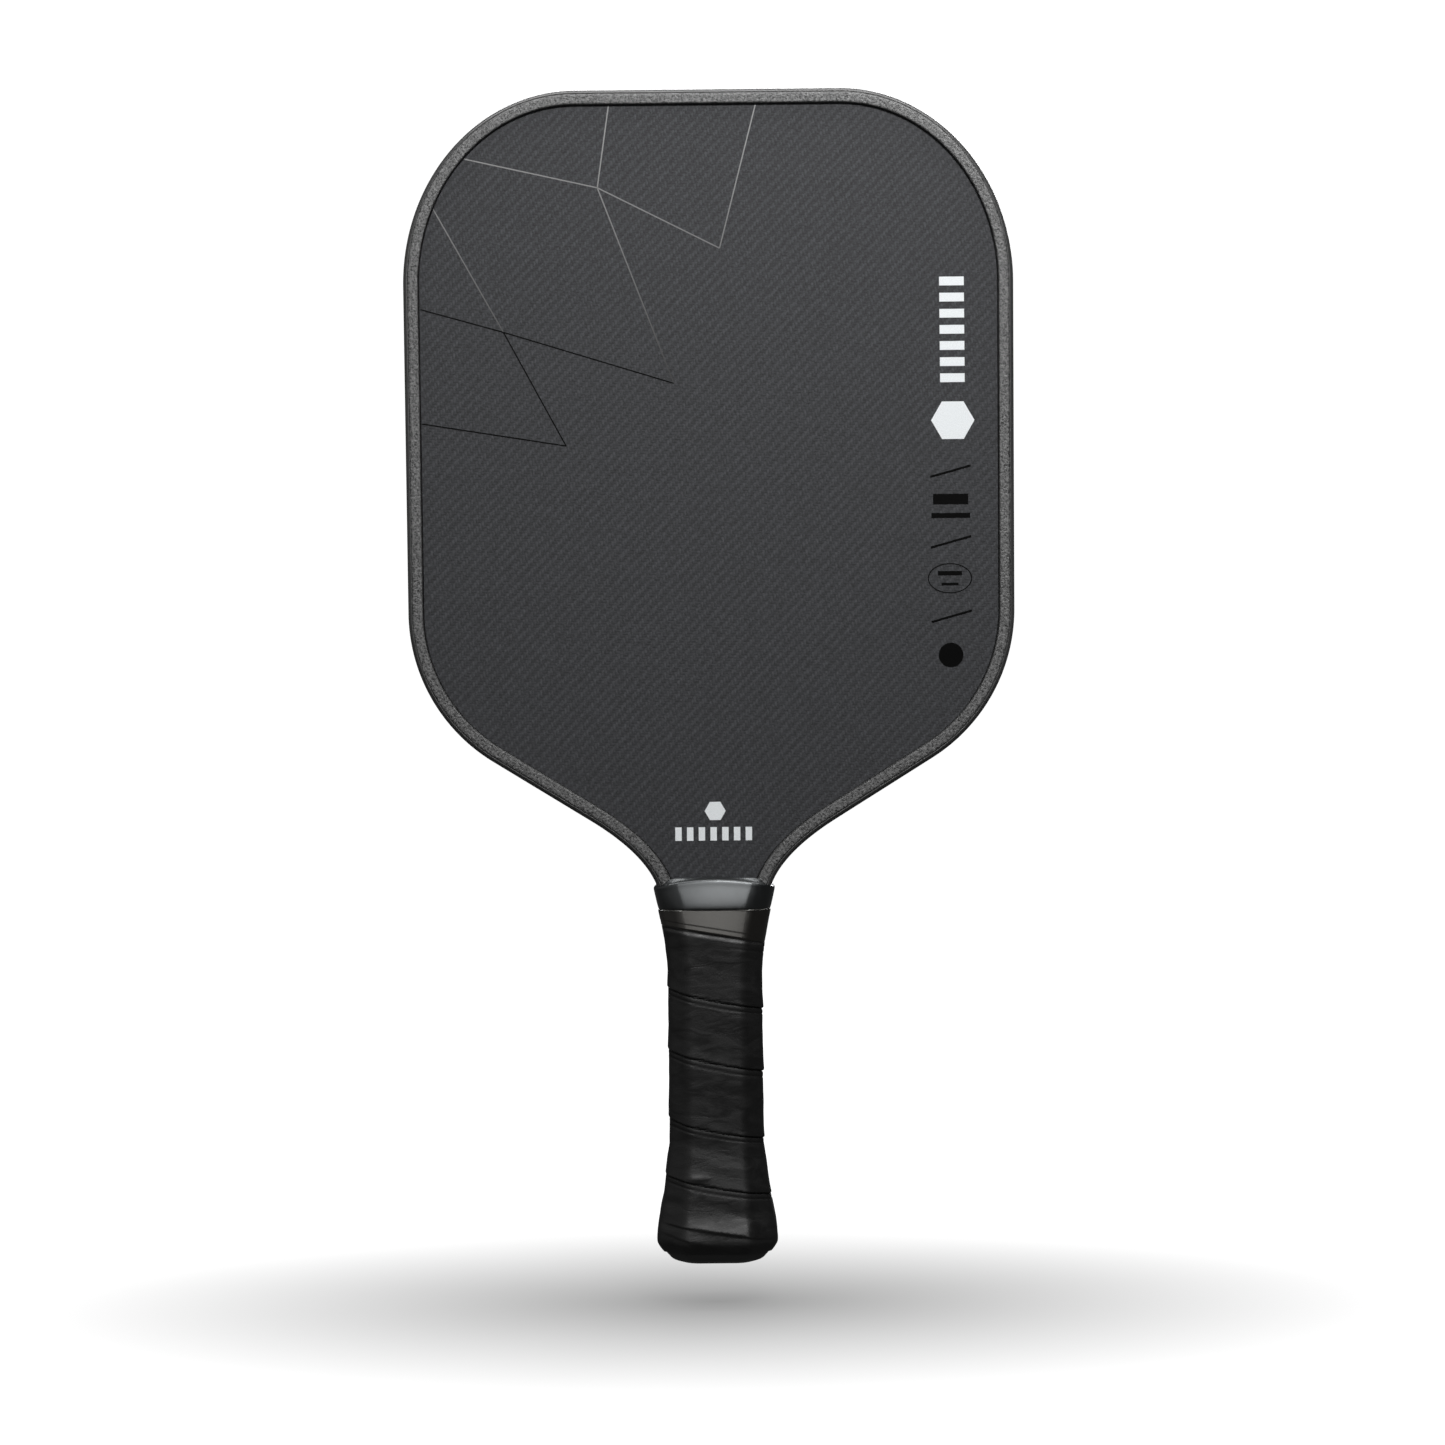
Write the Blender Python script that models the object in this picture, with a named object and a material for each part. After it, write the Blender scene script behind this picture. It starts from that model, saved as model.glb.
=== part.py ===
"""A pickleball paddle: a honeycomb sandwich head with an edge guard, and an eight-sided wrapped handle.

The paddle stands on the end of its handle: +Z runs from the butt to the top of the head, the front face
looks towards -Y, and the origin is in the middle of the butt's flat end.
"""

from math import cos, pi, radians, sin, sqrt, tan

import bmesh
import bpy
import numpy as np

# Head outline, measured to the outside of the edge guard
LENGTH = 0.4005
HALF_WIDTH = 0.1042
HIP_HALF_WIDTH = 0.1035
CORNER_WIDTH = 0.059
CORNER_HEIGHT = 0.066
HIP_RADIUS = 0.060
HIP_CENTRE_Z = 0.2225
DIAGONAL_SLOPE = radians(31.6)
NECK_HALF_WIDTH = 0.0182
THROAT_Z = 0.1216
THROAT_BEND = 27.5  # the throat's half width grows by this times the height squared

# Sandwich, as distances from the middle plane
GAP = 0.0003
SKIN_OUTSIDE = 0.0080
SKIN_THICKNESS = 0.0006
SCRIM_THICKNESS = 0.00025
SCRIM_OUTSIDE = SKIN_OUTSIDE - SKIN_THICKNESS - GAP
CORE_OUTSIDE = SCRIM_OUTSIDE - SCRIM_THICKNESS - GAP
FOAM_WIDTH = 0.007
CELL_PITCH = 0.020
CELL_WALL = 0.0014

# Edge guard, a U-shaped channel
GUARD_WEB = 0.0016
GUARD_FLANGE_REACH = 0.0056
GUARD_FLANGE_THICKNESS = 0.0009
GUARD_ROUNDING = 0.0026
GUARD_LIP_EASE = 0.0003
GUARD_END_Z = 0.1267
GUARD_OUTSIDE = SKIN_OUTSIDE + GAP + GUARD_FLANGE_THICKNESS
EDGE_INSET = GUARD_WEB + GAP

# Bare handle: the tongue of the sandwich with a pallet on each side
HANDLE_HALF_WIDTH = 0.0143
HANDLE_HALF_DEPTH = 0.0132
FACET_HALF_WIDTH = 0.0087
PALLET_INSIDE = SKIN_OUTSIDE + GAP
PALLET_EDGE = 0.0006
SIDE_HALF_DEPTH = PALLET_INSIDE + PALLET_EDGE
FLARE_START_Z = 0.099
FLARE_LENGTH = 0.027
FLARE = 0.0044
TONGUE_BOTTOM_Z = 0.0045
PALLET_SHOULDER_Z = 0.1182
PALLET_TOP_Z = 0.1247
PALLET_TOP_DEPTH = 0.0098
ARCH = 0.0030

# What covers the handle
WRAP = 0.0015
WRAP_BOTTOM_Z = 0.0042
WRAP_TOP_Z = 0.1196
WRAP_STEP = 0.003  # height over which the wrap runs from the cap's rim down onto the handle
TAPE_THICKNESS = 0.0004
TAPE_BOTTOM_Z = 0.1107
TAPE_TOP_Z = 0.1202
COLLAR_BOTTOM_Z = TAPE_TOP_Z + GAP
COLLAR_TOP_Z = 0.1283
COLLAR_WALL = 0.0008
COLLAR_LIP_DEPTH = 0.0107
COLLAR_SPREAD = 0.0009

# Butt cap: (height, half width) of its outer side, from the end up
CAP_PROFILE = (
    (0.0, 0.0115),
    (0.0008, 0.0140),
    (0.0030, 0.0168),
    (0.0070, 0.0186),
    (0.0110, 0.0187),
    (0.0160, 0.0180),
    (0.0230, 0.0167),
    (0.0340, 0.0154),
)
CAP_FLOOR = 0.0038
BADGE_HALF_WIDTH = 0.0092
BADGE_THICKNESS = 0.0008
STAPLE_Z = 0.015
STAPLE_CROWN = 0.009
STAPLE_LEG = 0.006
STAPLE_RADIUS = 0.00045
STAPLE_SINK = 0.0011

THROAT_POINTS = 9
FOAM_START = THROAT_POINTS - 1  # the foam band starts where the throat ends
COLUMNS = 9
EASE = 0.0012
SHARP = 0.0003

# sRGB colour, roughness and metallic of each material
CARBON = ((0.27, 0.275, 0.28), 0.75, 0.0)
GUARD_PLASTIC = ((0.33, 0.33, 0.33), 0.6, 0.0)
GLOSS_RUBBER = ((0.05, 0.05, 0.055), 0.25, 0.0)
WRAP_POLYURETHANE = ((0.08, 0.08, 0.08), 0.45, 0.0)
POLYPROPYLENE = ((0.80, 0.80, 0.78), 0.5, 0.0)
FOAM = ((0.85, 0.82, 0.70), 0.9, 0.0)
VEIL = ((0.90, 0.90, 0.90), 0.9, 0.0)
CAP_PLASTIC = ((0.06, 0.06, 0.06), 0.5, 0.0)
BADGE_PLASTIC = ((0.12, 0.12, 0.12), 0.3, 0.0)
STEEL = ((0.70, 0.70, 0.70), 0.3, 1.0)


def clear_scene():
    for old in list(bpy.data.objects):
        bpy.data.objects.remove(old, do_unlink=True)


def collection(name):
    made = bpy.data.collections.new(name)
    bpy.context.scene.collection.children.link(made)
    return made


def to_linear(value):
    return value / 12.92 if value <= 0.04045 else ((value + 0.055) / 1.055) ** 2.4


def give_material(obj, look):
    colour, roughness, metallic = look
    material = bpy.data.materials.new(obj.name)
    material.use_nodes = True
    shader = material.node_tree.nodes["Principled BSDF"]
    shader.inputs["Base Color"].default_value = (*map(to_linear, colour), 1)
    shader.inputs["Roughness"].default_value = roughness
    shader.inputs["Metallic"].default_value = metallic
    obj.data.materials.append(material)


def add_piece(name, data, look):
    obj = bpy.data.objects.new(name, data)
    PADDLE.objects.link(obj)
    give_material(obj, look)
    return obj


def add_helper(name, data):
    """A cutter or a profile, which isn't part of the paddle."""
    obj = bpy.data.objects.new(name, data)
    HELPERS.objects.link(obj)
    obj.hide_render = True
    obj.display_type = "WIRE"
    return obj


# ---------------------------------------------------------------- outlines


def head_side():
    """Right side of the head, from the neck to the top, as (x, z) points: throat, diagonal, hip and corner."""
    # The throat is a parabola, followed until it is as steep as the diagonal.
    rise = np.linspace(0, 1 / tan(DIAGONAL_SLOPE) / (2 * THROAT_BEND), THROAT_POINTS)
    throat = (NECK_HALF_WIDTH + THROAT_BEND * rise**2, THROAT_Z + rise)
    t = np.linspace(DIAGONAL_SLOPE - pi / 2, 0, 11)
    hip = (HIP_HALF_WIDTH - HIP_RADIUS + HIP_RADIUS * np.cos(t), HIP_CENTRE_Z + HIP_RADIUS * np.sin(t))
    t = np.linspace(0, pi / 2, 15)
    corner = (
        HALF_WIDTH - CORNER_WIDTH + CORNER_WIDTH * np.cos(t),
        LENGTH - CORNER_HEIGHT + CORNER_HEIGHT * np.sin(t),
    )
    return np.concatenate([np.transpose(part) for part in (throat, hip, corner)])


def inset(points, distance):
    """The points moved to the left of their direction of travel, which is inwards on the right side."""
    along = np.gradient(points, axis=0)
    along[0] = (0, 1)
    along[-1] = (-1, 0)
    along /= np.linalg.norm(along, axis=1, keepdims=True)
    return points + distance * np.stack([-along[:, 1], along[:, 0]], axis=1)


def both_sides(right):
    """A right side followed by its mirror image, travelled the other way."""
    return np.concatenate([right, (right * (-1, 1))[::-1]])


def handle_half_width(z):
    """Half width of the bare handle, which flares towards the head."""
    rise = np.clip((np.asarray(z) - FLARE_START_Z) / FLARE_LENGTH, 0, 1)
    return HANDLE_HALF_WIDTH + FLARE * rise**1.5


def tongue_side(narrower=0.0):
    """Right side of the tongue, from its bottom up to the neck."""
    z = np.append(TONGUE_BOTTOM_Z, np.linspace(FLARE_START_Z, THROAT_Z - 0.002, 6))
    return np.stack([handle_half_width(z) - narrower, z], axis=1)


def sheet_outline(narrower=0.0):
    """Outline of a face sheet or scrim: the head inside the guard, and the tongue."""
    head = inset(head_side(), EDGE_INSET + narrower)
    return both_sides(np.concatenate([tongue_side(narrower), head]))


def flat_curve(name, outlines, thickness):
    """A 2D curve in the X-Z plane, filled and extruded to a thickness along Y. Inner outlines are holes."""
    curve = bpy.data.curves.new(name, "CURVE")
    curve.dimensions = "2D"
    curve.fill_mode = "BOTH"
    curve.extrude = thickness / 2
    for outline in outlines:
        spline = curve.splines.new("POLY")
        spline.points.add(len(outline) - 1)
        for point, (x, z) in zip(spline.points, outline):
            point.co = (x, z, 0, 1)
        spline.use_cyclic_u = True
    return curve


def stand_up(obj, y=0.0):
    """Turn an object from the X-Y plane into the X-Z plane, at a distance along Y."""
    obj.rotation_euler = (pi / 2, 0, 0)
    obj.location = (0, y, 0)
    return obj


def mesh_of(obj):
    """The object's evaluated shape as a mesh with its loose caps welded, in place of the object."""
    bpy.context.view_layer.update()
    graph = bpy.context.evaluated_depsgraph_get()
    mesh = bpy.data.meshes.new_from_object(obj.evaluated_get(graph))
    mesh.transform(obj.matrix_world)
    bm = bmesh.new()
    bm.from_mesh(mesh)
    bmesh.ops.remove_doubles(bm, verts=bm.verts, dist=1e-6)
    bmesh.ops.recalc_face_normals(bm, faces=bm.faces)
    bm.to_mesh(mesh)
    bm.free()
    bpy.data.objects.remove(obj)
    return mesh


# ---------------------------------------------------------------- lofts


def mesh_from_rings(name, rings, capped):
    """Quads between rings of points. Capped ends are strips across the ring; otherwise the last ring meets the first."""
    rings = np.asarray(rings)
    count, size = rings.shape[:2]
    bm = bmesh.new()
    rows = [[bm.verts.new(point) for point in ring] for ring in rings]
    last = count - 1 if capped else count
    for i in range(last):
        lower, upper = rows[i], rows[(i + 1) % count]
        for k in range(size):
            after = (k + 1) % size
            bm.faces.new((lower[k], lower[after], upper[after], upper[k]))
    if capped:
        for row in (rows[0], rows[-1]):
            for k in range(size // 2 - 1):
                bm.faces.new((row[k], row[k + 1], row[size - 2 - k], row[size - 1 - k]))
    bmesh.ops.recalc_face_normals(bm, faces=bm.faces)
    mesh = bpy.data.meshes.new(name)
    bm.to_mesh(mesh)
    bm.free()
    return mesh


def octagon(half_width, half_depth, facet, side, z, ease):
    """Handle section: eight corners, each drawn as two points with an eased edge between them."""
    right = [(facet, -half_depth), (half_width, -side), (half_width, side), (facet, half_depth)]
    corners = np.array(right + [(-x, y) for x, y in reversed(right)])
    to_next = np.roll(corners, -1, axis=0) - corners
    step = ease * to_next / np.linalg.norm(to_next, axis=1, keepdims=True)
    pairs = np.stack([corners + step, corners + to_next - step], axis=1).reshape(-1, 2)
    pairs = np.roll(pairs, -7, axis=0)
    return np.column_stack([pairs, np.full(len(pairs), z)])


def handle_section(z, grow, ease=EASE):
    """Section of the bare handle at a height, grown outwards all round."""
    return octagon(
        handle_half_width(z) + grow,
        HANDLE_HALF_DEPTH + grow,
        FACET_HALF_WIDTH + handle_half_width(z) - HANDLE_HALF_WIDTH + grow * tan(pi / 8),
        SIDE_HALF_DEPTH + grow * tan(pi / 8),
        z,
        ease,
    )


def cap_section(z, half_width, grow):
    """Section of the butt cap, which keeps the handle's proportions."""
    swell = half_width - HANDLE_HALF_WIDTH + grow
    return octagon(
        HANDLE_HALF_WIDTH + swell,
        HANDLE_HALF_DEPTH + swell,
        FACET_HALF_WIDTH + swell * tan(pi / 8),
        SIDE_HALF_DEPTH + swell * tan(pi / 8),
        z,
        EASE,
    )


# ---------------------------------------------------------------- the sandwich


def honeycomb_cells(boundary_side):
    """Hexagons on a triangular grid that lie wholly inside the core."""
    radius = (CELL_PITCH - CELL_WALL) / sqrt(3)
    corners = [(radius * cos(k * pi / 3), radius * sin(k * pi / 3)) for k in range(6)]
    side = np.array(boundary_side)
    cells = []
    columns = int(HALF_WIDTH / (CELL_PITCH * sqrt(3) / 2)) + 1
    for i in range(-columns, columns + 1):
        x0 = i * CELL_PITCH * sqrt(3) / 2
        for j in range(int(LENGTH / CELL_PITCH) + 1):
            z0 = (j + 0.5 * (i % 2)) * CELL_PITCH
            cell = [(x0 + dx, z0 + dz) for dx, dz in corners]
            if all(inside(side, x, z) for x, z in cell):
                cells.append(cell)
    return cells


def inside(side, x, z):
    """Is the point inside the right side's outline and its mirror image, with a wall's width to spare?"""
    if not side[0, 1] + CELL_WALL < z < side[-1, 1] - CELL_WALL:
        return False
    return abs(x) < np.interp(z, side[:, 1], side[:, 0]) - CELL_WALL


def core_side():
    """Right side of the core: the full width up to the throat, then inside the foam band."""
    full = inset(head_side(), EDGE_INSET)
    narrow = inset(head_side(), EDGE_INSET + FOAM_WIDTH + GAP)
    back = GAP * np.array([cos(DIAGONAL_SLOPE), sin(DIAGONAL_SLOPE)])
    step = np.array([full[FOAM_START] - back, narrow[FOAM_START] - back])
    return np.concatenate([tongue_side(), full[:FOAM_START], step, narrow[FOAM_START + 1 :]])


def make_core():
    side = core_side()
    curve = flat_curve("honeycomb_core", [both_sides(side)] + honeycomb_cells(side), 2 * CORE_OUTSIDE)
    stand_up(add_piece("honeycomb_core", curve, POLYPROPYLENE))


def make_foam():
    outer = both_sides(inset(head_side(), EDGE_INSET)[FOAM_START:])
    inner = both_sides(inset(head_side(), EDGE_INSET + FOAM_WIDTH)[FOAM_START:])
    curve = flat_curve("perimeter_foam", [np.concatenate([outer, inner[::-1]])], 2 * CORE_OUTSIDE)
    stand_up(add_piece("perimeter_foam", curve, FOAM))


def make_scrim(name, side):
    middle = SCRIM_OUTSIDE - SCRIM_THICKNESS / 2
    curve = flat_curve(name, [sheet_outline(narrower=0.001)], SCRIM_THICKNESS)
    stand_up(add_piece(name, curve, VEIL), side * middle)


def make_face_sheet(name, side):
    middle = SKIN_OUTSIDE - SKIN_THICKNESS / 2
    curve = flat_curve(name, [sheet_outline()], SKIN_THICKNESS)
    stand_up(add_piece(name, curve, CARBON), side * middle)


# ---------------------------------------------------------------- the edge guard


def guard_profile():
    """Closed section of the channel. X is outwards from the outline, Y is across the paddle's thickness."""
    web, lip = -GUARD_WEB, -GUARD_FLANGE_REACH
    inner_y, outer_y = SKIN_OUTSIDE + GAP, GUARD_OUTSIDE
    t = np.linspace(0, pi / 2, 5)
    round_x = -GUARD_ROUNDING + GUARD_ROUNDING * np.cos(t)
    round_y = outer_y - GUARD_ROUNDING + GUARD_ROUNDING * np.sin(t)
    upper = list(zip(round_x, round_y))
    upper += [(lip + GUARD_LIP_EASE, outer_y), (lip, outer_y - GUARD_LIP_EASE)]
    upper += [(lip, inner_y), (web, inner_y)]
    return upper + [(x, -y) for x, y in reversed(upper)]


def make_edge_guard():
    profile = bpy.data.curves.new("guard_section", "CURVE")
    profile.dimensions = "2D"
    profile.fill_mode = "NONE"
    section = guard_profile()
    spline = profile.splines.new("POLY")
    spline.points.add(len(section) - 1)
    for point, (x, y) in zip(spline.points, section):
        point.co = (x, y, 0, 1)
    spline.use_cyclic_u = True
    section_object = add_helper("guard_section", profile)

    right = head_side()
    start = np.array([[np.interp(GUARD_END_Z, right[:, 1], right[:, 0]), GUARD_END_Z]])
    right = np.concatenate([start, right[right[:, 1] > GUARD_END_Z + GUARD_WEB]])
    path = bpy.data.curves.new("edge_guard", "CURVE")
    path.dimensions = "2D"
    path.bevel_mode = "OBJECT"
    path.bevel_object = section_object
    path.use_fill_caps = True
    spline = path.splines.new("POLY")
    points = both_sides(right)
    spline.points.add(len(points) - 1)
    for point, (x, z) in zip(spline.points, points):
        point.co = (x, z, 0, 1)
    add_piece("edge_guard", mesh_of(stand_up(add_helper("guard_sweep", path))), GUARD_PLASTIC)


# ---------------------------------------------------------------- the handle


def pallet_ring(z, depth, arch):
    """A pallet's section: across its eased front, then back along its flat inner side."""
    half_width = handle_half_width(z)
    facet = FACET_HALF_WIDTH + half_width - HANDLE_HALF_WIDTH
    x = np.concatenate([[-half_width], np.linspace(-facet, facet, COLUMNS - 2), [half_width]])
    rise = arch * (1 - (x / half_width) ** 2)
    front = np.full(COLUMNS, depth)
    front[[0, -1]] = SIDE_HALF_DEPTH
    outer = np.stack([x, front, z + rise], axis=1)
    inner = np.stack([x, np.full(COLUMNS, PALLET_INSIDE), z + rise], axis=1)
    return np.concatenate([outer, inner[::-1]])


def make_pallet(name, side):
    levels = [(TONGUE_BOTTOM_Z, HANDLE_HALF_DEPTH, 0), (FLARE_START_Z, HANDLE_HALF_DEPTH, 0)]
    levels += [(z, HANDLE_HALF_DEPTH, 0) for z in np.linspace(FLARE_START_Z, PALLET_SHOULDER_Z, 5)[1:]]
    for t in np.linspace(0, 1, 4)[1:]:
        z = PALLET_SHOULDER_Z + t * (PALLET_TOP_Z - PALLET_SHOULDER_Z)
        depth = HANDLE_HALF_DEPTH - (HANDLE_HALF_DEPTH - PALLET_TOP_DEPTH) * t**2
        levels.append((z, depth, ARCH * t))
    rings = np.array([pallet_ring(*level) for level in levels])
    rings[:, :, 1] *= side
    return add_piece(name, mesh_from_rings(name, rings, capped=True), POLYPROPYLENE)


def sleeve(name, outer, inner, look):
    """A tube whose outer rings run up and whose inner rings run back down."""
    mesh = mesh_from_rings(name, list(outer) + list(inner)[::-1], capped=False)
    return add_piece(name, mesh, look)


def cap_half_width(z):
    heights, widths = np.transpose(CAP_PROFILE)
    return np.interp(z, heights, widths)


def make_grip_wrap():
    """A sleeve over the butt cap and the handle. Its top end is thinned to go under the finishing tape."""
    cap_top = CAP_PROFILE[-1][0]
    over_cap = [(WRAP_BOTTOM_Z, cap_half_width(WRAP_BOTTOM_Z)), *CAP_PROFILE[3:]]
    outer = [cap_section(z, w, GAP + WRAP) for z, w in over_cap]
    outer[0] = cap_section(*over_cap[0], GAP + WRAP / 2)
    inner = [cap_section(z, w, GAP) for z, w in over_cap]
    above = [cap_top + WRAP_STEP, *np.linspace(FLARE_START_Z, TAPE_BOTTOM_Z - GAP, 3)]
    outer += [handle_section(z, GAP + WRAP) for z in above]
    inner += [handle_section(z, GAP, SHARP) for z in above]
    for z in np.linspace(TAPE_BOTTOM_Z, WRAP_TOP_Z, 3):
        outer.append(handle_section(z, WRAP - TAPE_THICKNESS))
        inner.append(handle_section(z, GAP, SHARP))
    sleeve("grip_wrap", outer, inner, WRAP_POLYURETHANE)


def make_finishing_tape():
    heights = np.linspace(TAPE_BOTTOM_Z + GAP, TAPE_TOP_Z, 3)
    outer = [handle_section(z, GAP + WRAP) for z in heights]
    inner = [handle_section(z, GAP + WRAP - TAPE_THICKNESS) for z in heights]
    sleeve("finishing_tape", outer, inner, GLOSS_RUBBER)


def collar_ring(t, grow):
    """Collar section at t, 0 at its bottom and 1 at its top. The front and back close in and arch upwards."""
    z = COLLAR_BOTTOM_Z + t * (COLLAR_TOP_Z - COLLAR_BOTTOM_Z)
    close = t**2
    depth = (1 - close) * (HANDLE_HALF_DEPTH + GAP) + close * (COLLAR_LIP_DEPTH - COLLAR_WALL)
    wide = handle_half_width(z) + GAP + COLLAR_SPREAD * t
    facet = FACET_HALF_WIDTH + handle_half_width(z) - HANDLE_HALF_WIDTH
    side = (1 - close) * SIDE_HALF_DEPTH + close * (GUARD_OUTSIDE + GAP / 2)
    ring = octagon(wide + grow, depth + grow, facet, side, z, EASE if grow else SHARP)
    ring[:, 2] += ARCH * t * np.clip(1 - (ring[:, 0] / wide) ** 2, 0, 1)
    return ring


def make_collar():
    steps = np.linspace(0, 1, 5)
    outer = [collar_ring(t, COLLAR_WALL) for t in steps]
    inner = [collar_ring(t, 0) for t in steps]
    sleeve("handle_collar", outer, inner, GLOSS_RUBBER)


# ---------------------------------------------------------------- the butt cap


def staple_curve(side, radius):
    """A U of round wire: the crown lies across the cap's front or back, and the legs point inwards."""
    outside = HANDLE_HALF_DEPTH + cap_half_width(STAPLE_Z) - HANDLE_HALF_WIDTH - STAPLE_SINK
    half = STAPLE_CROWN / 2
    corners = [(-half, outside - STAPLE_LEG), (-half, outside), (half, outside), (half, outside - STAPLE_LEG)]
    curve = bpy.data.curves.new("staple", "CURVE")
    curve.dimensions = "3D"
    curve.bevel_depth = radius
    curve.bevel_resolution = 1
    curve.use_fill_caps = True
    spline = curve.splines.new("POLY")
    spline.points.add(len(corners) - 1)
    for point, (x, y) in zip(spline.points, corners):
        point.co = (x, side * y, STAPLE_Z, 1)
    return curve


def staple_cutter(side):
    """Room for a staple: a slot that opens outwards for the crown, and a hole for each leg."""
    crown_y = HANDLE_HALF_DEPTH + cap_half_width(STAPLE_Z) - HANDLE_HALF_WIDTH - STAPLE_SINK
    room = 2 * (STAPLE_RADIUS + GAP)
    inner_end = crown_y - STAPLE_LEG - GAP
    outer_end = crown_y + STAPLE_LEG
    boxes = [((0, (crown_y - room / 2 + outer_end) / 2), (STAPLE_CROWN + room, outer_end - crown_y + room / 2))]
    for x in (-STAPLE_CROWN / 2, STAPLE_CROWN / 2):
        boxes.append(((x, (inner_end + outer_end) / 2), (room, outer_end - inner_end)))
    cutters = []
    for (x, y), (width, depth) in boxes:
        bm = bmesh.new()
        bmesh.ops.create_cube(bm, size=1)
        bmesh.ops.scale(bm, vec=(width, depth, room), verts=bm.verts)
        bmesh.ops.translate(bm, vec=(x, side * y, STAPLE_Z), verts=bm.verts)
        mesh = bpy.data.meshes.new("staple_room")
        bm.to_mesh(mesh)
        bm.free()
        cutters.append(add_helper("staple_room", mesh))
    return cutters


def cut(obj, cutters):
    for cutter in cutters:
        modifier = obj.modifiers.new("cut", "BOOLEAN")
        modifier.operation = "DIFFERENCE"
        modifier.object = cutter


def make_butt_cap(staple_room):
    """A solid flare with a pocket for the handle from above and a shallow recess for the badge from below."""
    rings = [cap_section(z, width, 0) for z, width in CAP_PROFILE]
    cap = add_piece("butt_cap", mesh_from_rings("butt_cap", rings, capped=True), CAP_PLASTIC)
    pocket_rings = [handle_section(z, GAP, SHARP) for z in (CAP_FLOOR, CAP_PROFILE[-1][0] + 0.005)]
    pocket = add_helper("cap_pocket", mesh_from_rings("cap_pocket", pocket_rings, capped=True))
    recess_top = BADGE_THICKNESS + GAP
    recess = add_helper("badge_recess", badge_mesh("badge_recess", GAP, -0.002, recess_top))
    cut(cap, [pocket, recess] + staple_room)


def badge_mesh(name, grow, bottom, top):
    """A round disc that fills the middle of the butt's end."""
    bm = bmesh.new()
    radius = BADGE_HALF_WIDTH + grow
    bmesh.ops.create_cone(
        bm, cap_ends=True, segments=32, radius1=radius, radius2=radius, depth=top - bottom
    )
    bmesh.ops.translate(bm, vec=(0, 0, (top + bottom) / 2), verts=bm.verts)
    mesh = bpy.data.meshes.new(name)
    bm.to_mesh(mesh)
    bm.free()
    return mesh


clear_scene()
PADDLE = collection("pickleball_paddle")
HELPERS = collection("cutters")

make_core()
make_foam()
make_scrim("front_scrim", -1)
make_scrim("rear_scrim", 1)
make_face_sheet("front_face_sheet", -1)
make_face_sheet("rear_face_sheet", 1)
make_edge_guard()
front_room = staple_cutter(-1)
rear_room = staple_cutter(1)
cut(make_pallet("front_handle_pallet", -1), front_room[1:])
cut(make_pallet("rear_handle_pallet", 1), rear_room[1:])
make_butt_cap(front_room + rear_room)
add_piece("butt_cap_badge", badge_mesh("butt_cap_badge", 0, 0, BADGE_THICKNESS), BADGE_PLASTIC)
add_piece("front_cap_staple", staple_curve(-1, STAPLE_RADIUS), STEEL)
add_piece("rear_cap_staple", staple_curve(1, STAPLE_RADIUS), STEEL)
make_grip_wrap()
make_finishing_tape()
make_collar()
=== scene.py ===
# %% [markdown]
# # A pickleball paddle in a studio
#
# A pickleball paddle is a bonded sandwich: a plastic honeycomb between two woven carbon skins, with a moulded guard
# clipped over the edge and an eight-sided handle wound with a cushioned grip. The CAD model already holds every
# piece at its real size, so it is loaded first and never changed. This lesson then makes the fine surfaces that
# people see and touch: the guard's rounded edge, the wound grip with its overlaps, the tape, the collar and the
# prints, and a material for each finish. All lengths are in metres, +Z runs from the butt to the top of the head,
# and the front face looks towards -Y.

# %% Load the CAD frame
from math import pi, radians, tan

import bmesh
import bpy
import numpy as np
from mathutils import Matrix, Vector


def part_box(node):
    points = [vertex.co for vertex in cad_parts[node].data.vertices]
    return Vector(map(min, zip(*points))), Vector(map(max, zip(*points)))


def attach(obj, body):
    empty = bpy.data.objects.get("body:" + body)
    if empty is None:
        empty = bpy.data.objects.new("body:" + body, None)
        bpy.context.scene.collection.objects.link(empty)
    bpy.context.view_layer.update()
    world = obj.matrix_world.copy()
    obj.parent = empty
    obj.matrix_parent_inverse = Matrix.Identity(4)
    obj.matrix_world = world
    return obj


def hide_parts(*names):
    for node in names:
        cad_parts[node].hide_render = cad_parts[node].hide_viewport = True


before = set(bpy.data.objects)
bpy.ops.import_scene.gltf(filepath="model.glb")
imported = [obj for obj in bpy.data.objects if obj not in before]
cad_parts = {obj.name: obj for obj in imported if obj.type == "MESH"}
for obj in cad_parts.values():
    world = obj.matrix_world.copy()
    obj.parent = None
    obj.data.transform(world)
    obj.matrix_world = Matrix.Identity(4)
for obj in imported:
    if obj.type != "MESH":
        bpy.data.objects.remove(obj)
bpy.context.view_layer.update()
MM = 0.001

# %% [markdown]
# ## The camera
#
# A product picture of something flat is taken from far away with a long lens, so that the outline isn't distorted.
# A lens's field is set by its focal length over the sensor's width, so the lens below is worked out from how much
# the frame spans at the paddle. The paddle leans by half a degree, which is done by rolling the camera.

# %% Camera
SENSOR_WIDTH = 36.0
CAMERA_DISTANCE = 1.2
FRAME_SPAN = 0.4963
CAMERA_HEIGHT = 0.18415
CAMERA_SIDE = 0.0034
CAMERA_ROLL = radians(0.575)

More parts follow.
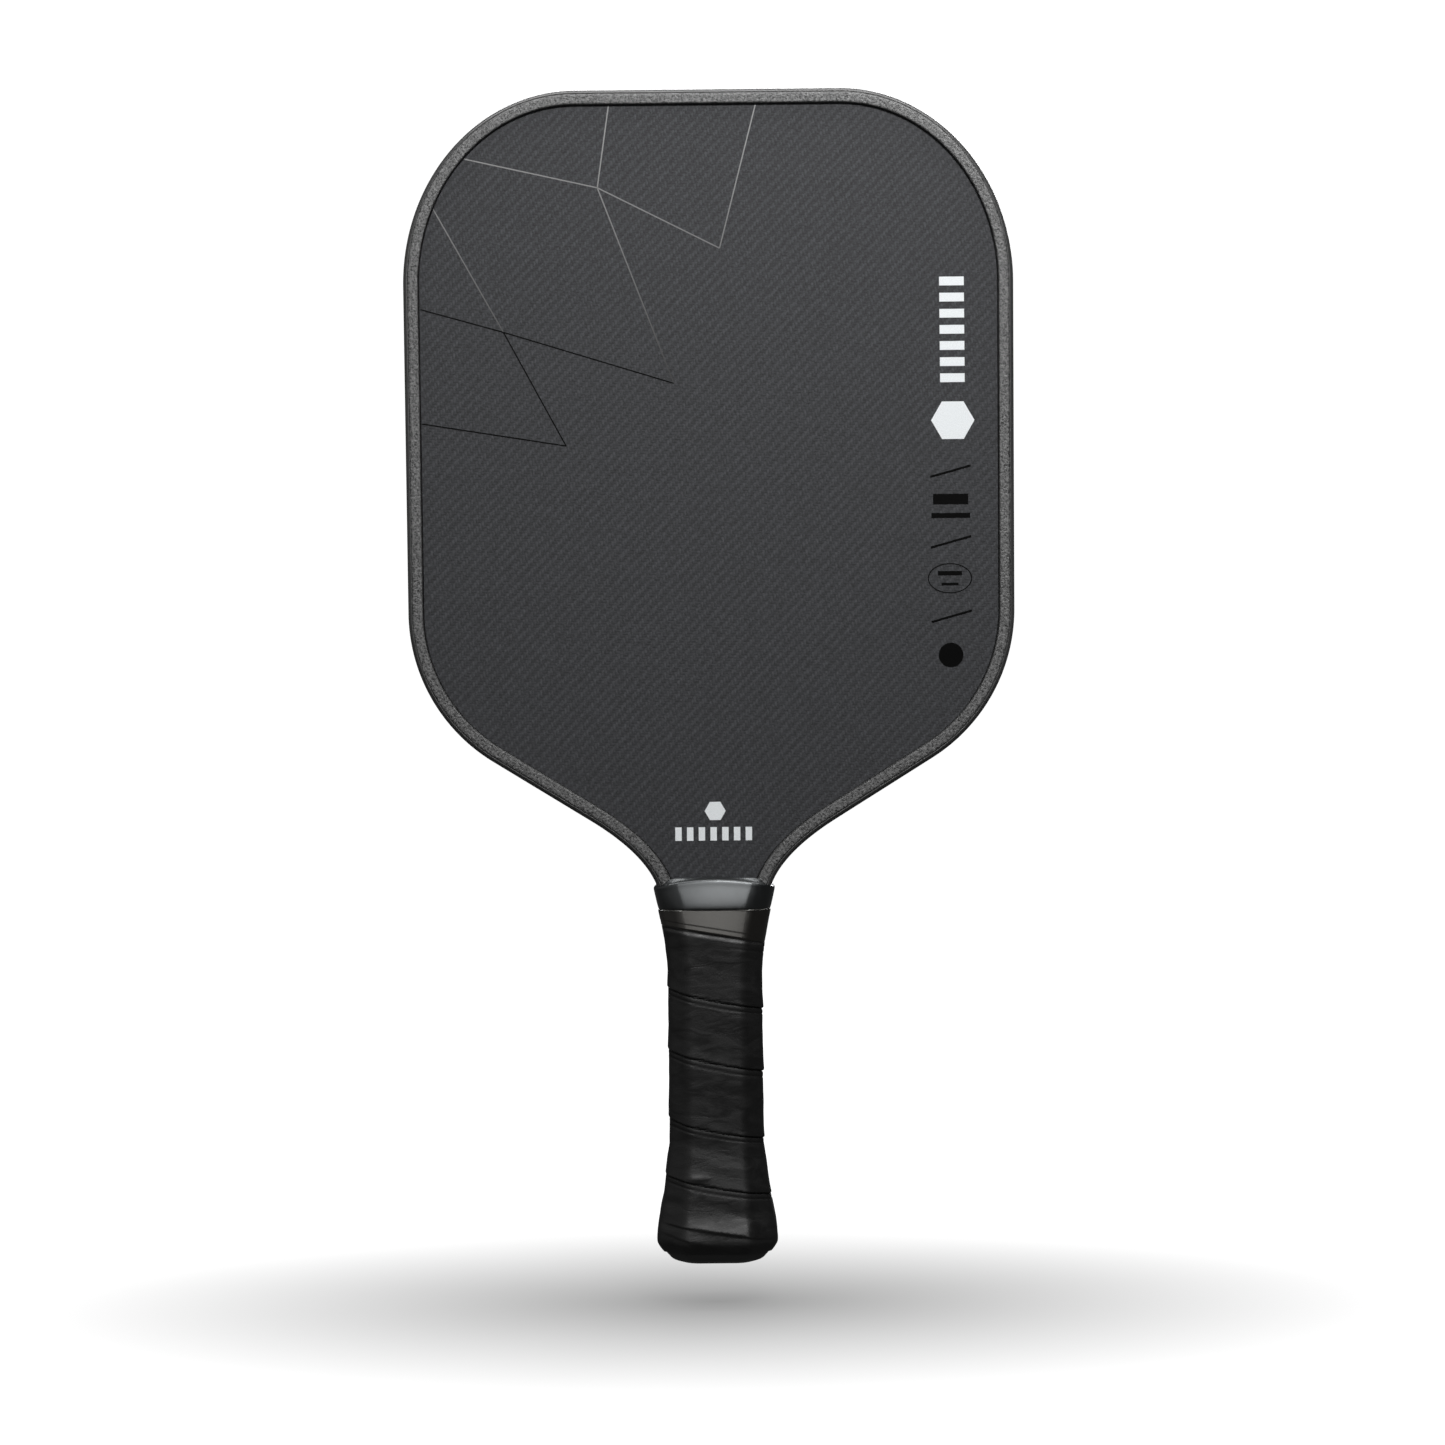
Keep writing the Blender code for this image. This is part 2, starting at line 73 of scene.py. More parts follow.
camera_data = bpy.data.cameras.new("camera")
camera_data.sensor_width = SENSOR_WIDTH
camera_data.lens = SENSOR_WIDTH * CAMERA_DISTANCE / FRAME_SPAN
camera = bpy.data.objects.new("camera", camera_data)
camera.location = (CAMERA_SIDE, -CAMERA_DISTANCE, CAMERA_HEIGHT)
camera.rotation_euler = (pi / 2, CAMERA_ROLL, 0)
bpy.context.scene.collection.objects.link(camera)
bpy.context.scene.camera = camera
print("lens", round(camera_data.lens, 1), "mm")

# %% [markdown]
# ## Nodes and colours
#
# Materials and the world are node trees. One small function adds a node, sets its settings and fills its inputs,
# either with a value or with a link from another node's output. Colours are written as sRGB hex values, as a
# colour picker shows them, and are turned into the linear values that a renderer calculates with.


# %% Helpers for node trees
def linear(hex_colour):
    """sRGB hex to linear RGBA: below 0.04045 divide by 12.92, above it the 2.4 power of (value + 0.055) / 1.055."""
    srgb = np.array([int(hex_colour[i : i + 2], 16) for i in (1, 3, 5)]) / 255
    rgb = np.where(srgb <= 0.04045, srgb / 12.92, ((srgb + 0.055) / 1.055) ** 2.4)
    return (*rgb.tolist(), 1.0)


def node(tree, kind, inputs=None, **settings):
    """Add a node with its settings, its inputs filled with values or linked to sockets. Gives its outputs."""
    made = tree.nodes.new("ShaderNode" + kind)
    for name, value in settings.items():
        setattr(made, name, value)
    for key, value in (inputs or {}).items():
        if isinstance(value, bpy.types.NodeSocket):
            tree.links.new(value, made.inputs[key])
        else:
            made.inputs[key].default_value = value
    return made.outputs


def new_finish(name):
    """An empty material, and its node tree."""
    material = bpy.data.materials.new(name)
    material.use_nodes = True
    material.node_tree.nodes.clear()
    return material, material.node_tree


print("carbon grey in linear values", [round(x, 3) for x in linear("#454648")])

# %% [markdown]
# ## Light and floor
#
# The paddle hovers over a white table in soft light. Black things are hard to light: what they show is mostly the
# reflection of the room. So the room is built twice. The camera sees a white room and a white lit table with a
# broad pool of shade. Every other ray, which means the reflections and the bounced light, meets a dim room that is
# brighter in front and on the left, and a grey table, so that black parts stay black and keep their modelling. The
# Light Path node tells the two apart. A large panel in front and above gives the pale reflections on the glossy
# parts that lean back. A smaller lamp near the head makes the top of the face lighter than its bottom, and a long
# panel overhead draws a highlight along the rim and the collar's lip. A panel behind lights the back, which only
# shows when the camera goes round. The pool of shade is part of the table's material, because a real shadow from
# such soft light would be too faint, and a wide sun straight overhead adds the short shadow right under the butt.

# %% Colour management
bpy.context.scene.view_settings.view_transform = "Standard"
print("view transform", bpy.context.scene.view_settings.view_transform)

# %% World
ROOM_DIM = 0.04
ROOM_BRIGHT = 0.3
ROOM_BRIGHT_SIDE = (-0.75, -0.62, 0.2)
ROOM_SEEN = 1.05

world = bpy.data.worlds.new("studio")
bpy.context.scene.world = world
world.use_nodes = True
tree = world.node_tree
tree.nodes.clear()
seen = node(tree, "LightPath")["Is Camera Ray"]
direction = node(tree, "TexCoord")["Generated"]
facing = node(tree, "VectorMath", {0: direction, 1: ROOM_BRIGHT_SIDE}, operation="DOT_PRODUCT")["Value"]
room = node(tree, "MapRange", {"Value": facing, "From Min": 0.2, "To Min": ROOM_DIM, "To Max": ROOM_BRIGHT})[0]
strength = node(tree, "Mix", {"Factor": seen, "A": room, "B": ROOM_SEEN})[0]
background = node(tree, "Background", {"Color": (1, 1, 1, 1), "Strength": strength})[0]
node(tree, "OutputWorld", {"Surface": background})
print("room seen", ROOM_SEEN, "and felt from", ROOM_DIM, "to", ROOM_BRIGHT)

# %% Table
TABLE_Z = -0.0147
TABLE_HALF = 30.0
TABLE_GLOW = 0.99
TABLE_MATT = 0.15
POOL_DEPTH = 0.7
POOL_HALF_SIZE = (0.288, 0.204)
TABLE_IN_REFLECTIONS = "#484848"

table_mesh = bpy.data.meshes.new("table")
corners = [(-1, -1), (1, -1), (1, 1), (-1, 1)]
table_mesh.from_pydata([(x * TABLE_HALF, y * TABLE_HALF, TABLE_Z) for x, y in corners], [], [(0, 1, 2, 3)])
table = bpy.data.objects.new("table", table_mesh)
bpy.context.scene.collection.objects.link(table)

material, tree = new_finish("white_acrylic")
place = node(tree, "TexCoord")["Object"]
across = (1 / POOL_HALF_SIZE[0], 1 / POOL_HALF_SIZE[1], 0)
pool = node(tree, "VectorMath", {0: place, 1: across}, operation="MULTIPLY")[0]
pool = node(tree, "TexGradient", {"Vector": pool}, gradient_type="SPHERICAL")[1]
lit = node(tree, "MapRange", {"Value": pool, "To Min": 1.0, "To Max": 1 - POOL_DEPTH})[0]
white = node(tree, "VectorMath", {0: (TABLE_MATT,) * 3, "Scale": lit}, operation="SCALE")[0]
glow = node(tree, "Math", {0: lit, 1: TABLE_GLOW}, operation="MULTIPLY")[0]
bright = node(tree, "Emission", {"Color": (1, 1, 1, 1), "Strength": glow})[0]
matt = node(tree, "BsdfDiffuse", {"Color": white})[0]
shown = node(tree, "AddShader", {0: bright, 1: matt})[0]
reflected = node(tree, "Emission", {"Color": linear(TABLE_IN_REFLECTIONS)})[0]
seen = node(tree, "LightPath")["Is Camera Ray"]
shader = node(tree, "MixShader", {0: seen, 1: reflected, 2: shown})[0]
node(tree, "OutputMaterial", {"Surface": shader})
table_mesh.materials.append(material)
print("table", round(-TABLE_Z / MM, 1), "mm below the butt")

# %% Lights
OVERHEAD_IRRADIANCE = 0.55
OVERHEAD_ANGLE = radians(62)
# Each panel's place, aim, power in watts, width and height, and how wide its beam spreads.
PANELS = {
    "front_panel": ((0.1, -1.6, 1.03), (0.02, 0, 0.15), 10.5, 1.1, 0.95, 180),
    "head_lamp": ((0.14, -0.55, 0.74), (0.02, 0, 0.42), 1.6, 0.3, 0.2, 115),
    "top_panel": ((0, -0.05, 1.25), (0, -0.05, 0.3), 9.0, 1.5, 0.35, 180),
    "back_panel": ((0.2, 1.6, 1.0), (0, 0, 0.2), 26.0, 1.2, 0.8, 180),
}


def add_light(kind, name, place, aim, **settings):
    """A light that the camera doesn't see, turned so that it shines from its place towards the aim."""
    light = bpy.data.lights.new(name, kind)
    for key, value in settings.items():
        setattr(light, key, value)
    made = bpy.data.objects.new(name, light)
    made.location = place
    made.rotation_euler = (Vector(aim) - Vector(place)).to_track_quat("-Z", "Y").to_euler()
    made.visible_camera = False
    bpy.context.scene.collection.objects.link(made)


add_light("SUN", "overhead", (0, 0, 2), (0, 0, 0), energy=OVERHEAD_IRRADIANCE, angle=OVERHEAD_ANGLE)
for name, (place, aim, power, width, height, spread) in PANELS.items():
    add_light("AREA", name, place, aim, energy=power, shape="RECTANGLE", size=width, size_y=height,
              spread=radians(spread))
print("lights", [light.name for light in bpy.data.lights])

# %% [markdown]
# ## Surfaces as grids
#
# Almost every piece here is a grid of points: rows along the piece and columns around it. One function turns such
# a grid into a closed mesh. It checks the mesh's signed volume, which is negative when the faces look inwards, and
# turns them round if so.


# %% From a grid to a mesh
def surface(name, rows, ends, **marks):
    """Quads over a grid of points (row, column, xyz) whose columns close round. With ends "joined" the last row
    meets the first, with "capped" one flat face closes each end, and with "poles" the end rows are single points.
    Each mark is a number per point, stored under its name, which a material can read."""
    rows = np.asarray(rows, dtype=float)
    index = np.arange(rows.shape[0] * rows.shape[1]).reshape(rows.shape[:2])
    caps = [index[0].tolist()[::-1], index[-1].tolist()] if ends == "capped" else []
    if ends == "joined":
        index = np.vstack([index, index[:1]])
    beside = np.roll(index, -1, axis=1)
    quads = np.stack([index[:-1], beside[:-1], beside[1:], index[1:]], axis=-1).reshape(-1, 4)
    mesh = bpy.data.meshes.new(name)
    mesh.from_pydata(rows.reshape(-1, 3), [], quads.tolist() + caps)
    for mark, values in marks.items():
        stored = mesh.attributes.new(mark, "FLOAT", "POINT")
        stored.data.foreach_set("value", np.ravel(values).astype(np.float32))
    return outwards(mesh)


def smooth(value, low, high):
    """0 below low, 1 above high, and a smooth S between."""
    t = np.clip((value - low) / (high - low), 0, 1)
    return t * t * (3 - 2 * t)


def outwards(mesh):
    """Weld points that coincide, and turn the faces so that they look outwards."""
    bm = bmesh.new()
    bm.from_mesh(mesh)
    bmesh.ops.remove_doubles(bm, verts=bm.verts, dist=1e-7)
    if bm.calc_volume(signed=True) < 0:
        bmesh.ops.reverse_faces(bm, faces=bm.faces)
    bm.to_mesh(mesh)
    bm.free()
    return mesh


def add_piece(mesh, material, slot, *nodes, crease=50):
    """Put a mesh into the scene as a finished piece that rides on the paddle and stands for the given CAD nodes."""
    mesh.shade_smooth()
    mesh.set_sharp_from_angle(angle=radians(crease))
    mesh.materials.append(material)
    piece = bpy.data.objects.new(mesh.name, mesh)
    bpy.context.scene.collection.objects.link(piece)
    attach(piece, "root")
    if nodes:
        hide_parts(*nodes)
    print(mesh.name, len(mesh.polygons), "faces")
    return piece


# %% [markdown]
# ## Carbon skins
#
# The hitting faces are raw carbon laminate. The cloth is a 2/2 twill: each yarn passes over two and under two,
# and the step moves on by one yarn each row, which draws diagonal ribs. A peel ply is torn off after curing and
# leaves a fine grit that makes the face matt. The skins are flat plates, so the CAD meshes stay, and the weave is
# a material: it works out, for each point, which yarn is on top and how high its rounded back stands there.

# %% Twill weave
YARN_PITCH = 0.92 * MM  # yarn spacing of a 3K tow that has been spread thin
GRIT = 0.16 * MM  # print of the peel ply


def weave_nodes(tree, across, along):
    """Which yarn is on top (1 for warp, 0 for weft) and how high it stands, from two coordinates in yarns."""
    cells = [node(tree, "Math", {0: axis}, operation="FLOOR")[0] for axis in (across, along)]
    parts = [node(tree, "Math", {0: axis}, operation="FRACT")[0] for axis in (across, along)]
    step = node(tree, "Math", {0: cells[0], 1: cells[1]}, operation="SUBTRACT")[0]
    phase = node(tree, "Math", {0: step, 1: 4.0}, operation="FLOORED_MODULO")[0]
    warp_up = node(tree, "Math", {0: phase, 1: 1.5}, operation="LESS_THAN")[0]
    # Along a float of two yarns the height is a low arch, and across the yarn it is a half round.
    warp_run = node(tree, "Math", {0: parts[1], 1: phase}, operation="SUBTRACT")[0]
    warp_run = node(tree, "Math", {0: warp_run, 1: 1.0}, operation="ADD")[0]
    weft_run = node(tree, "Math", {0: parts[0], 1: phase}, operation="ADD")[0]
    weft_run = node(tree, "Math", {0: weft_run, 1: -2.0}, operation="ADD")[0]
    heights = []
    for run, width in ((warp_run, parts[0]), (weft_run, parts[1])):
        arch = node(tree, "Math", {0: run, 1: pi / 2}, operation="MULTIPLY")[0]
        arch = node(tree, "Math", {0: arch}, operation="SINE")[0]
        back = node(tree, "Math", {0: width, 1: pi}, operation="MULTIPLY")[0]
        back = node(tree, "Math", {0: back}, operation="SINE")[0]
        arch = node(tree, "MapRange", {"Value": arch, "To Min": 0.35, "To Max": 1.0})[0]
        heights.append(node(tree, "Math", {0: arch, 1: back}, operation="MULTIPLY")[0])
    height = node(tree, "Mix", {"Factor": warp_up, "A": heights[1], "B": heights[0]})[0]
    return warp_up, height


def raw_carbon_twill():
    """Carbon/epoxy laminate cured under peel ply: grey-black, matt, with diagonal ribs and a fine sparkle of grit."""
    material, tree = new_finish("raw_carbon_twill")
    place = node(tree, "TexCoord")["Object"]
    yarns = node(tree, "VectorMath", {0: place, "Scale": 1 / YARN_PITCH}, operation="SCALE")[0]
    axes = node(tree, "SeparateXYZ", {0: yarns})
    warp_up, height = weave_nodes(tree, axes["X"], axes["Z"])
    grit = node(tree, "TexNoise", {"Vector": place, "Scale": 1 / (4 * GRIT), "Detail": 3.0, "Roughness": 0.75})[0]
    # Painted light: warp yarns are lighter than weft, as the sheen of their direction, and each yarn is darker where
    # its back falls away, as painted shade.
    yarn_tones = {"Factor": warp_up, "A": linear("#26272A"), "B": linear("#323336")}
    tint = node(tree, "Mix", yarn_tones, data_type="RGBA")[2]
    shade = node(tree, "MapRange", {"Value": height, "To Min": 0.8, "To Max": 1.08})[0]
    sparkle = {"Value": grit, "From Min": 0.3, "From Max": 0.7, "To Min": 0.3, "To Max": 1.75}
    speck = node(tree, "MapRange", sparkle)[0]
    shade = node(tree, "Math", {0: shade, 1: speck}, operation="MULTIPLY")[0]
    colour = node(tree, "VectorMath", {0: tint, "Scale": shade}, operation="SCALE")[0]
    relief = node(tree, "Math", {0: grit, 1: 0.5, 2: height}, operation="MULTIPLY_ADD")[0]
    bump = node(tree, "Bump", {"Height": relief, "Distance": 0.06 * MM, "Strength": 0.6})[0]
    values = {"Base Color": colour, "Roughness": 0.72, "IOR": 1.5, "Normal": bump}
    shader = node(tree, "BsdfPrincipled", values)[0]
    node(tree, "OutputMaterial", {"Surface": shader})
    return material


def dress(material, *names):
    """Give CAD nodes that stay in sight their material."""
    for name in names:
        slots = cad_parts[name].material_slots
        if not slots:
            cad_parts[name].data.materials.append(material)
        for slot in slots:
            slot.material = material


dress(raw_carbon_twill(), "front_face_sheet", "rear_face_sheet")
print("yarns in 10 mm", round(10 * MM / YARN_PITCH, 1))

# %% [markdown]
# ## The head's outline
#
# The guard follows the outside of the head, so the outline is drawn once, as the CAD draws it: a parabola for the
# throat, a straight diagonal, an arc for the hip, a straight side, a quarter ellipse for the corner, and a flat
# top. It is then sampled again at even steps along its length, which keeps the guard's quads even.

# %% Outline
HEAD_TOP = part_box("edge_guard")[1].z
HALF_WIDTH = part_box("edge_guard")[1].x
GUARD_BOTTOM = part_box("edge_guard")[0].z
CORNER_WIDTH = 0.059
CORNER_HEIGHT = 0.066
HIP_RADIUS = 0.060
HIP_CENTRE = (0.0435, 0.2225)
DIAGONAL_SLOPE = radians(31.6)
NECK_HALF_WIDTH = 0.0182
THROAT_Z = 0.1216
THROAT_BEND = 27.5


def evenly(points, count):
    """The same line, as points at even distances along it."""
    run = np.append(0, np.cumsum(np.linalg.norm(np.diff(points, axis=0), axis=1)))
    at = np.linspace(0, run[-1], count)
    return np.stack([np.interp(at, run, points[:, k]) for k in (0, 1)], axis=1)


def head_side():
    """Right side of the head as (x, z), from the neck to the middle of the top."""
    rise = np.linspace(0, 1 / tan(DIAGONAL_SLOPE) / (2 * THROAT_BEND), 40)
    throat = np.stack([NECK_HALF_WIDTH + THROAT_BEND * rise**2, THROAT_Z + rise], axis=1)
    t = np.linspace(DIAGONAL_SLOPE - pi / 2, 0, 120)
    hip = np.stack([HIP_CENTRE[0] + HIP_RADIUS * np.cos(t), HIP_CENTRE[1] + HIP_RADIUS * np.sin(t)], axis=1)
    t = np.linspace(0, pi / 2, 200)
    corner = np.stack(
        [HALF_WIDTH - CORNER_WIDTH + CORNER_WIDTH * np.cos(t), HEAD_TOP - CORNER_HEIGHT + CORNER_HEIGHT * np.sin(t)],
        axis=1,
    )
    return np.concatenate([throat, hip, corner, [(0, HEAD_TOP)]])


def guard_path(count):
    """The whole outline from the right end of the guard over the top to the left end, with outward directions."""
    right = head_side()
    start = np.interp(GUARD_BOTTOM, right[:, 1], right[:, 0])
    right = np.concatenate([[(start, GUARD_BOTTOM)], right[right[:, 1] > GUARD_BOTTOM]])
    line = evenly(np.concatenate([right, (right * (-1, 1))[-2::-1]]), count)
    along = np.gradient(line, axis=0)
    along /= np.linalg.norm(along, axis=1, keepdims=True)
    return line, np.stack([along[:, 1], -along[:, 0]], axis=1)


guard_line, guard_out = guard_path(720)
print("guard length", round(np.linalg.norm(np.diff(guard_line, axis=0), axis=1).sum() / MM), "mm")

# %% [markdown]
# ## Edge guard
#
# A channel of tough plastic grips the rim of the sandwich. Its outer side is rounded and smooth, a fine groove
# runs along it where the mould's two surfaces meet, and the flange that lies on the face has a leather grain. A
# curve with a bevel object could make it, but a sweep written out gives full control over where the points go:
# the section is a closed loop of (outwards, across) points, and each is carried along the outline.

# %% Guard section and sweep
GUARD_SIDE_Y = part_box("edge_guard")[1].y
SKIN_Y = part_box("rear_face_sheet")[1].y
GAP = 0.3 * MM
GUARD_WEB = 1.6 * MM
GUARD_REACH = 5.6 * MM
GUARD_ROUNDING = 2.6 * MM
LIP_ROUNDING = 1.0 * MM
GROOVE_AT = 1.5 * MM
GROOVE_WIDTH = 0.2 * MM
GROOVE_DEPTH = 0.25 * MM
# How dark the groove is painted, as shade.
GROOVE_DARKNESS = 0.75


def guard_section():
    """Half the section: up the side, a quarter circle, along the flange, a small quarter circle, and back inside.
    The groove is a Gaussian valley taken off the height. The other half is the mirror image. The other results are
    the painted shade, 1 on the wall of the lip and in the groove, and 1 on the polished side outside the groove."""
    t = np.linspace(0, pi / 2, 30)
    shoulder = [-GUARD_ROUNDING + GUARD_ROUNDING * np.cos(t), GUARD_SIDE_Y - GUARD_ROUNDING * (1 - np.sin(t))]
    flat = np.linspace(-GUARD_ROUNDING, LIP_ROUNDING - GUARD_REACH, 12)[1:-1]
    t = np.linspace(0, pi / 2, 8)
    lip = [LIP_ROUNDING - GUARD_REACH - LIP_ROUNDING * np.sin(t), GUARD_SIDE_Y - LIP_ROUNDING * (1 - np.cos(t))]
    inner = SKIN_Y + GAP
    out = np.concatenate([shoulder[0], flat, lip[0], [-GUARD_REACH, -GUARD_WEB]])
    height = np.concatenate([shoulder[1], np.full(len(flat), GUARD_SIDE_Y), lip[1], [inner, inner]])
    groove = np.where(height > inner, np.exp(-(((out + GROOVE_AT) / GROOVE_WIDTH) ** 2)), 0)
    half = np.stack([out, height - GROOVE_DEPTH * groove], axis=1)
    lip = smooth(-out, GUARD_REACH - LIP_ROUNDING, GUARD_REACH - 0.35 * LIP_ROUNDING)
    # Painted shade: the lip's wall and the groove are marked so that the material colours them near black.
    dark = np.maximum(lip, GROOVE_DARKNESS * groove)
    polished = smooth(out, -GROOVE_AT, -GROOVE_AT + 0.3 * MM)
    halves = np.stack([dark, polished])
    return np.concatenate([half, (half * (1, -1))[::-1]]), *np.concatenate([halves, halves[:, ::-1]], axis=1)


def sweep(line, out, section):
    """Carry the section along the line: x and z move outwards with it, and y is its height across the paddle."""
    rows = np.zeros((len(line), len(section), 3))
    rows[..., 0] = line[:, None, 0] + out[:, None, 0] * section[None, :, 0]
    rows[..., 1] = section[None, :, 1]
    rows[..., 2] = line[:, None, 1] + out[:, None, 1] * section[None, :, 0]
    return rows


guard_half = guard_section()[0]
print("guard section", len(guard_half), "points,", round(np.ptp(guard_half[:, 1]) / MM, 1), "mm across")


# %% Guard finish and piece
def leather_grained_abs():
    """Injection-moulded ABS/TPU with a spark-eroded leather grain: mid grey, satin, broken up by small pits. The
    rounded side is polished and even. The wall of the lip and the groove are painted near black as shade."""
    material, tree = new_finish("leather_grained_abs")
    place = node(tree, "TexCoord")["Object"]
    leather = {"Vector": place, "Scale": 1 / (0.7 * MM), "Detail": 4.0, "Roughness": 0.65, "Distortion": 0.6}
    grain = node(tree, "TexNoise", leather)[0]
    pits = node(tree, "TexVoronoi", {"Vector": place, "Scale": 1 / (0.75 * MM)}, feature="SMOOTH_F1")[0]
    relief = node(tree, "Math", {0: pits, 1: 0.5, 2: grain}, operation="MULTIPLY_ADD")[0]
    tone = node(tree, "MapRange", {"Value": relief, "From Min": 0.5, "From Max": 0.9})[0]
    colour = node(tree, "Mix", {"Factor": tone, "A": linear("#121212"), "B": linear("#707070")}, data_type="RGBA")[2]
    polished = node(tree, "Attribute", attribute_name="polished")["Fac"]
    colour = node(tree, "Mix", {"Factor": polished, "A": colour, "B": linear("#3C3C3C")}, data_type="RGBA")[2]
    shaded = node(tree, "Attribute", attribute_name="shaded")["Fac"]
    # Painted shade: where the section is marked shaded, the colour goes near black.
    colour = node(tree, "Mix", {"Factor": shaded, "A": colour, "B": linear("#050505")}, data_type="RGBA")[2]
    strength = node(tree, "MapRange", {"Value": polished, "To Min": 0.9, "To Max": 0.1})[0]
    bump = node(tree, "Bump", {"Height": relief, "Distance": 0.22 * MM, "Strength": strength})[0]
    rough = node(tree, "MapRange", {"Value": polished, "To Min": 0.42, "To Max": 0.27})[0]
    shader = node(tree, "BsdfPrincipled", {"Base Color": colour, "Roughness": rough, "IOR": 1.53, "Normal": bump})[0]
    node(tree, "OutputMaterial", {"Surface": shader})
    return material


section, *marks = guard_section()
shaded, polished = (np.tile(mark, len(guard_line)) for mark in marks)
guard_mesh = surface("guard", sweep(guard_line, guard_out, section), "capped", shaded=shaded, polished=polished)
add_piece(guard_mesh, leather_grained_abs(), "guard_plastic", "edge_guard")

# %% [markdown]
# ## The handle's section
#
# The handle is an octagon with rounded corners, wider than it is deep. A rounded polygon is a smaller polygon with
# a circle rolled round it: each corner becomes an arc, and each side stays straight. The function below makes one
# ring for each height, all at once, and gives the outward direction of each point too, so that a relief can be
# added. Near the head the handle flares sideways, and at the butt the cap under the wrap makes it swell all round.

# %% Rings of the handle
HANDLE_HALF_WIDTH = 14.3 * MM
HANDLE_HALF_DEPTH = 13.2 * MM
FACET_HALF_WIDTH = 8.7 * MM
SIDE_HALF_DEPTH = 8.9 * MM
NECK_FLARE = 4.4 * MM
NECK_FLARE_START = 99 * MM
NECK_FLARE_LENGTH = 27 * MM
BUTT_FLARE_TOP = 42 * MM
BUTT_Z = np.array([0, 0.8, 3.0, 7.0, 11.0, 16.0, 23.0, 34.0, 42.0]) * MM
BUTT_SWELL_SIDE = np.array([-2.8, -0.3, 2.5, 4.3, 4.4, 3.6, 2.2, 0.9, 0.0]) * MM
BUTT_SWELL_FRONT = np.array([-2.8, -0.3, 2.5, 4.2, 3.9, 2.6, 1.95, 0.75, 0.0]) * MM
TAN_BEVEL = tan(pi / 8)


def neck_swell(z):
    """How much wider the handle is near the head: the 1.5 power of the way up the flare."""
    return NECK_FLARE * np.clip((z - NECK_FLARE_START) / NECK_FLARE_LENGTH, 0, 1.1) ** 1.5


def butt_swell(z, swell):
    """How much the butt cap stands out: a cubic curve through a few heights, with slopes taken from neighbours."""
    slope = np.gradient(swell, BUTT_Z)
    slope[-1] = 0
    z = np.clip(z, 0, BUTT_FLARE_TOP)
    k = np.clip(np.searchsorted(BUTT_Z, z) - 1, 0, len(BUTT_Z) - 2)
    step = BUTT_Z[k + 1] - BUTT_Z[k]
    t = (z - BUTT_Z[k]) / step
    low = (1 + 2 * t) * (1 - t) ** 2 * swell[k] + t * (1 - t) ** 2 * step * slope[k]
    high = t**2 * (3 - 2 * t) * swell[k + 1] - t**2 * (1 - t) * step * slope[k + 1]
    return low + high


def rounded_octagon(half_width, half_depth, facet, side, rounding, bend=6, run=7):
    """Rings of points and their outward directions. Sizes are arrays, one value per ring. Each corner has bend + 1
    points on an arc, and each side has run points between arcs."""
    right = [(facet, -half_depth), (half_width, -side), (half_width, side), (facet, half_depth)]
    left = [(-x, y) for x, y in reversed(right)]
    corners = np.array([np.broadcast_arrays(x, y) for x, y in right + left]).transpose(2, 0, 1)
    edges = np.roll(corners, -1, axis=1) - corners
    normal = np.stack([edges[..., 1], -edges[..., 0]], axis=-1)
    normal /= np.linalg.norm(normal, axis=-1, keepdims=True)
    before = np.roll(normal, 1, axis=1)
    mitre = (before + normal) / (1 + np.sum(before * normal, axis=-1, keepdims=True))
    centres = corners - rounding * mitre
    t = np.linspace(0, 1, bend + 1)[:, None]
    turning = before[:, :, None] * (1 - t) + normal[:, :, None] * t
    turning /= np.linalg.norm(turning, axis=-1, keepdims=True)
    arcs = centres[:, :, None] + rounding * turning
    t = np.linspace(0, 1, run + 2)[1:-1, None]
    sides = arcs[:, :, -1:] * (1 - t) + np.roll(arcs, -1, axis=1)[:, :, :1] * t
    outs = np.broadcast_to(normal[:, :, None], sides.shape)
    points = np.concatenate([arcs, sides], axis=2).reshape(len(corners), -1, 2)
    return points, np.concatenate([turning, outs], axis=2).reshape(len(corners), -1, 2)


def handle_rings(z, grow, rounding=5.2 * MM):
    """Rings round the handle at heights z, grown outwards from the bare handle."""
    z = np.atleast_1d(z)
    wide = butt_swell(z, BUTT_SWELL_SIDE) + grow
    deep = butt_swell(z, BUTT_SWELL_FRONT) + grow
    return rounded_octagon(
        HANDLE_HALF_WIDTH + neck_swell(z) + wide,
        HANDLE_HALF_DEPTH + deep,
        FACET_HALF_WIDTH + neck_swell(z) + wide * TAN_BEVEL,
        SIDE_HALF_DEPTH + deep * TAN_BEVEL,
        rounding,
    )


def lift(points, z):
    """Rings of (x, y) points as (x, y, z), with one height per ring or per point."""
    z = np.broadcast_to(np.asarray(z).reshape(len(points), -1), points.shape[:2])
    return np.concatenate([points, z[..., None]], axis=-1)


grip_ring = handle_rings(60 * MM, 1.8 * MM)[0][0]
ring_steps = np.linalg.norm(np.roll(grip_ring, -1, axis=0) - grip_ring, axis=1)
print("grip girth", round(ring_steps.sum() / MM, 1), "mm in", len(grip_ring), "points")

# %% [markdown]
# ## Grip wrap
#
# The grip is one strip of cushioned polyurethane, wound from the butt upwards so that each turn covers the edge
# of the turn below. The edge on top stands a little proud and casts a thin shadow, and a second line shows below
# it where the strip's skived margin ends. A strip could be wound as a real ribbon, but its turns would lie in
# each other. Here it is one sleeve whose surface is raised by a relief: the height above the nearest overlap is
# found from how far round and how far up a point is, and the relief is a function of that height.

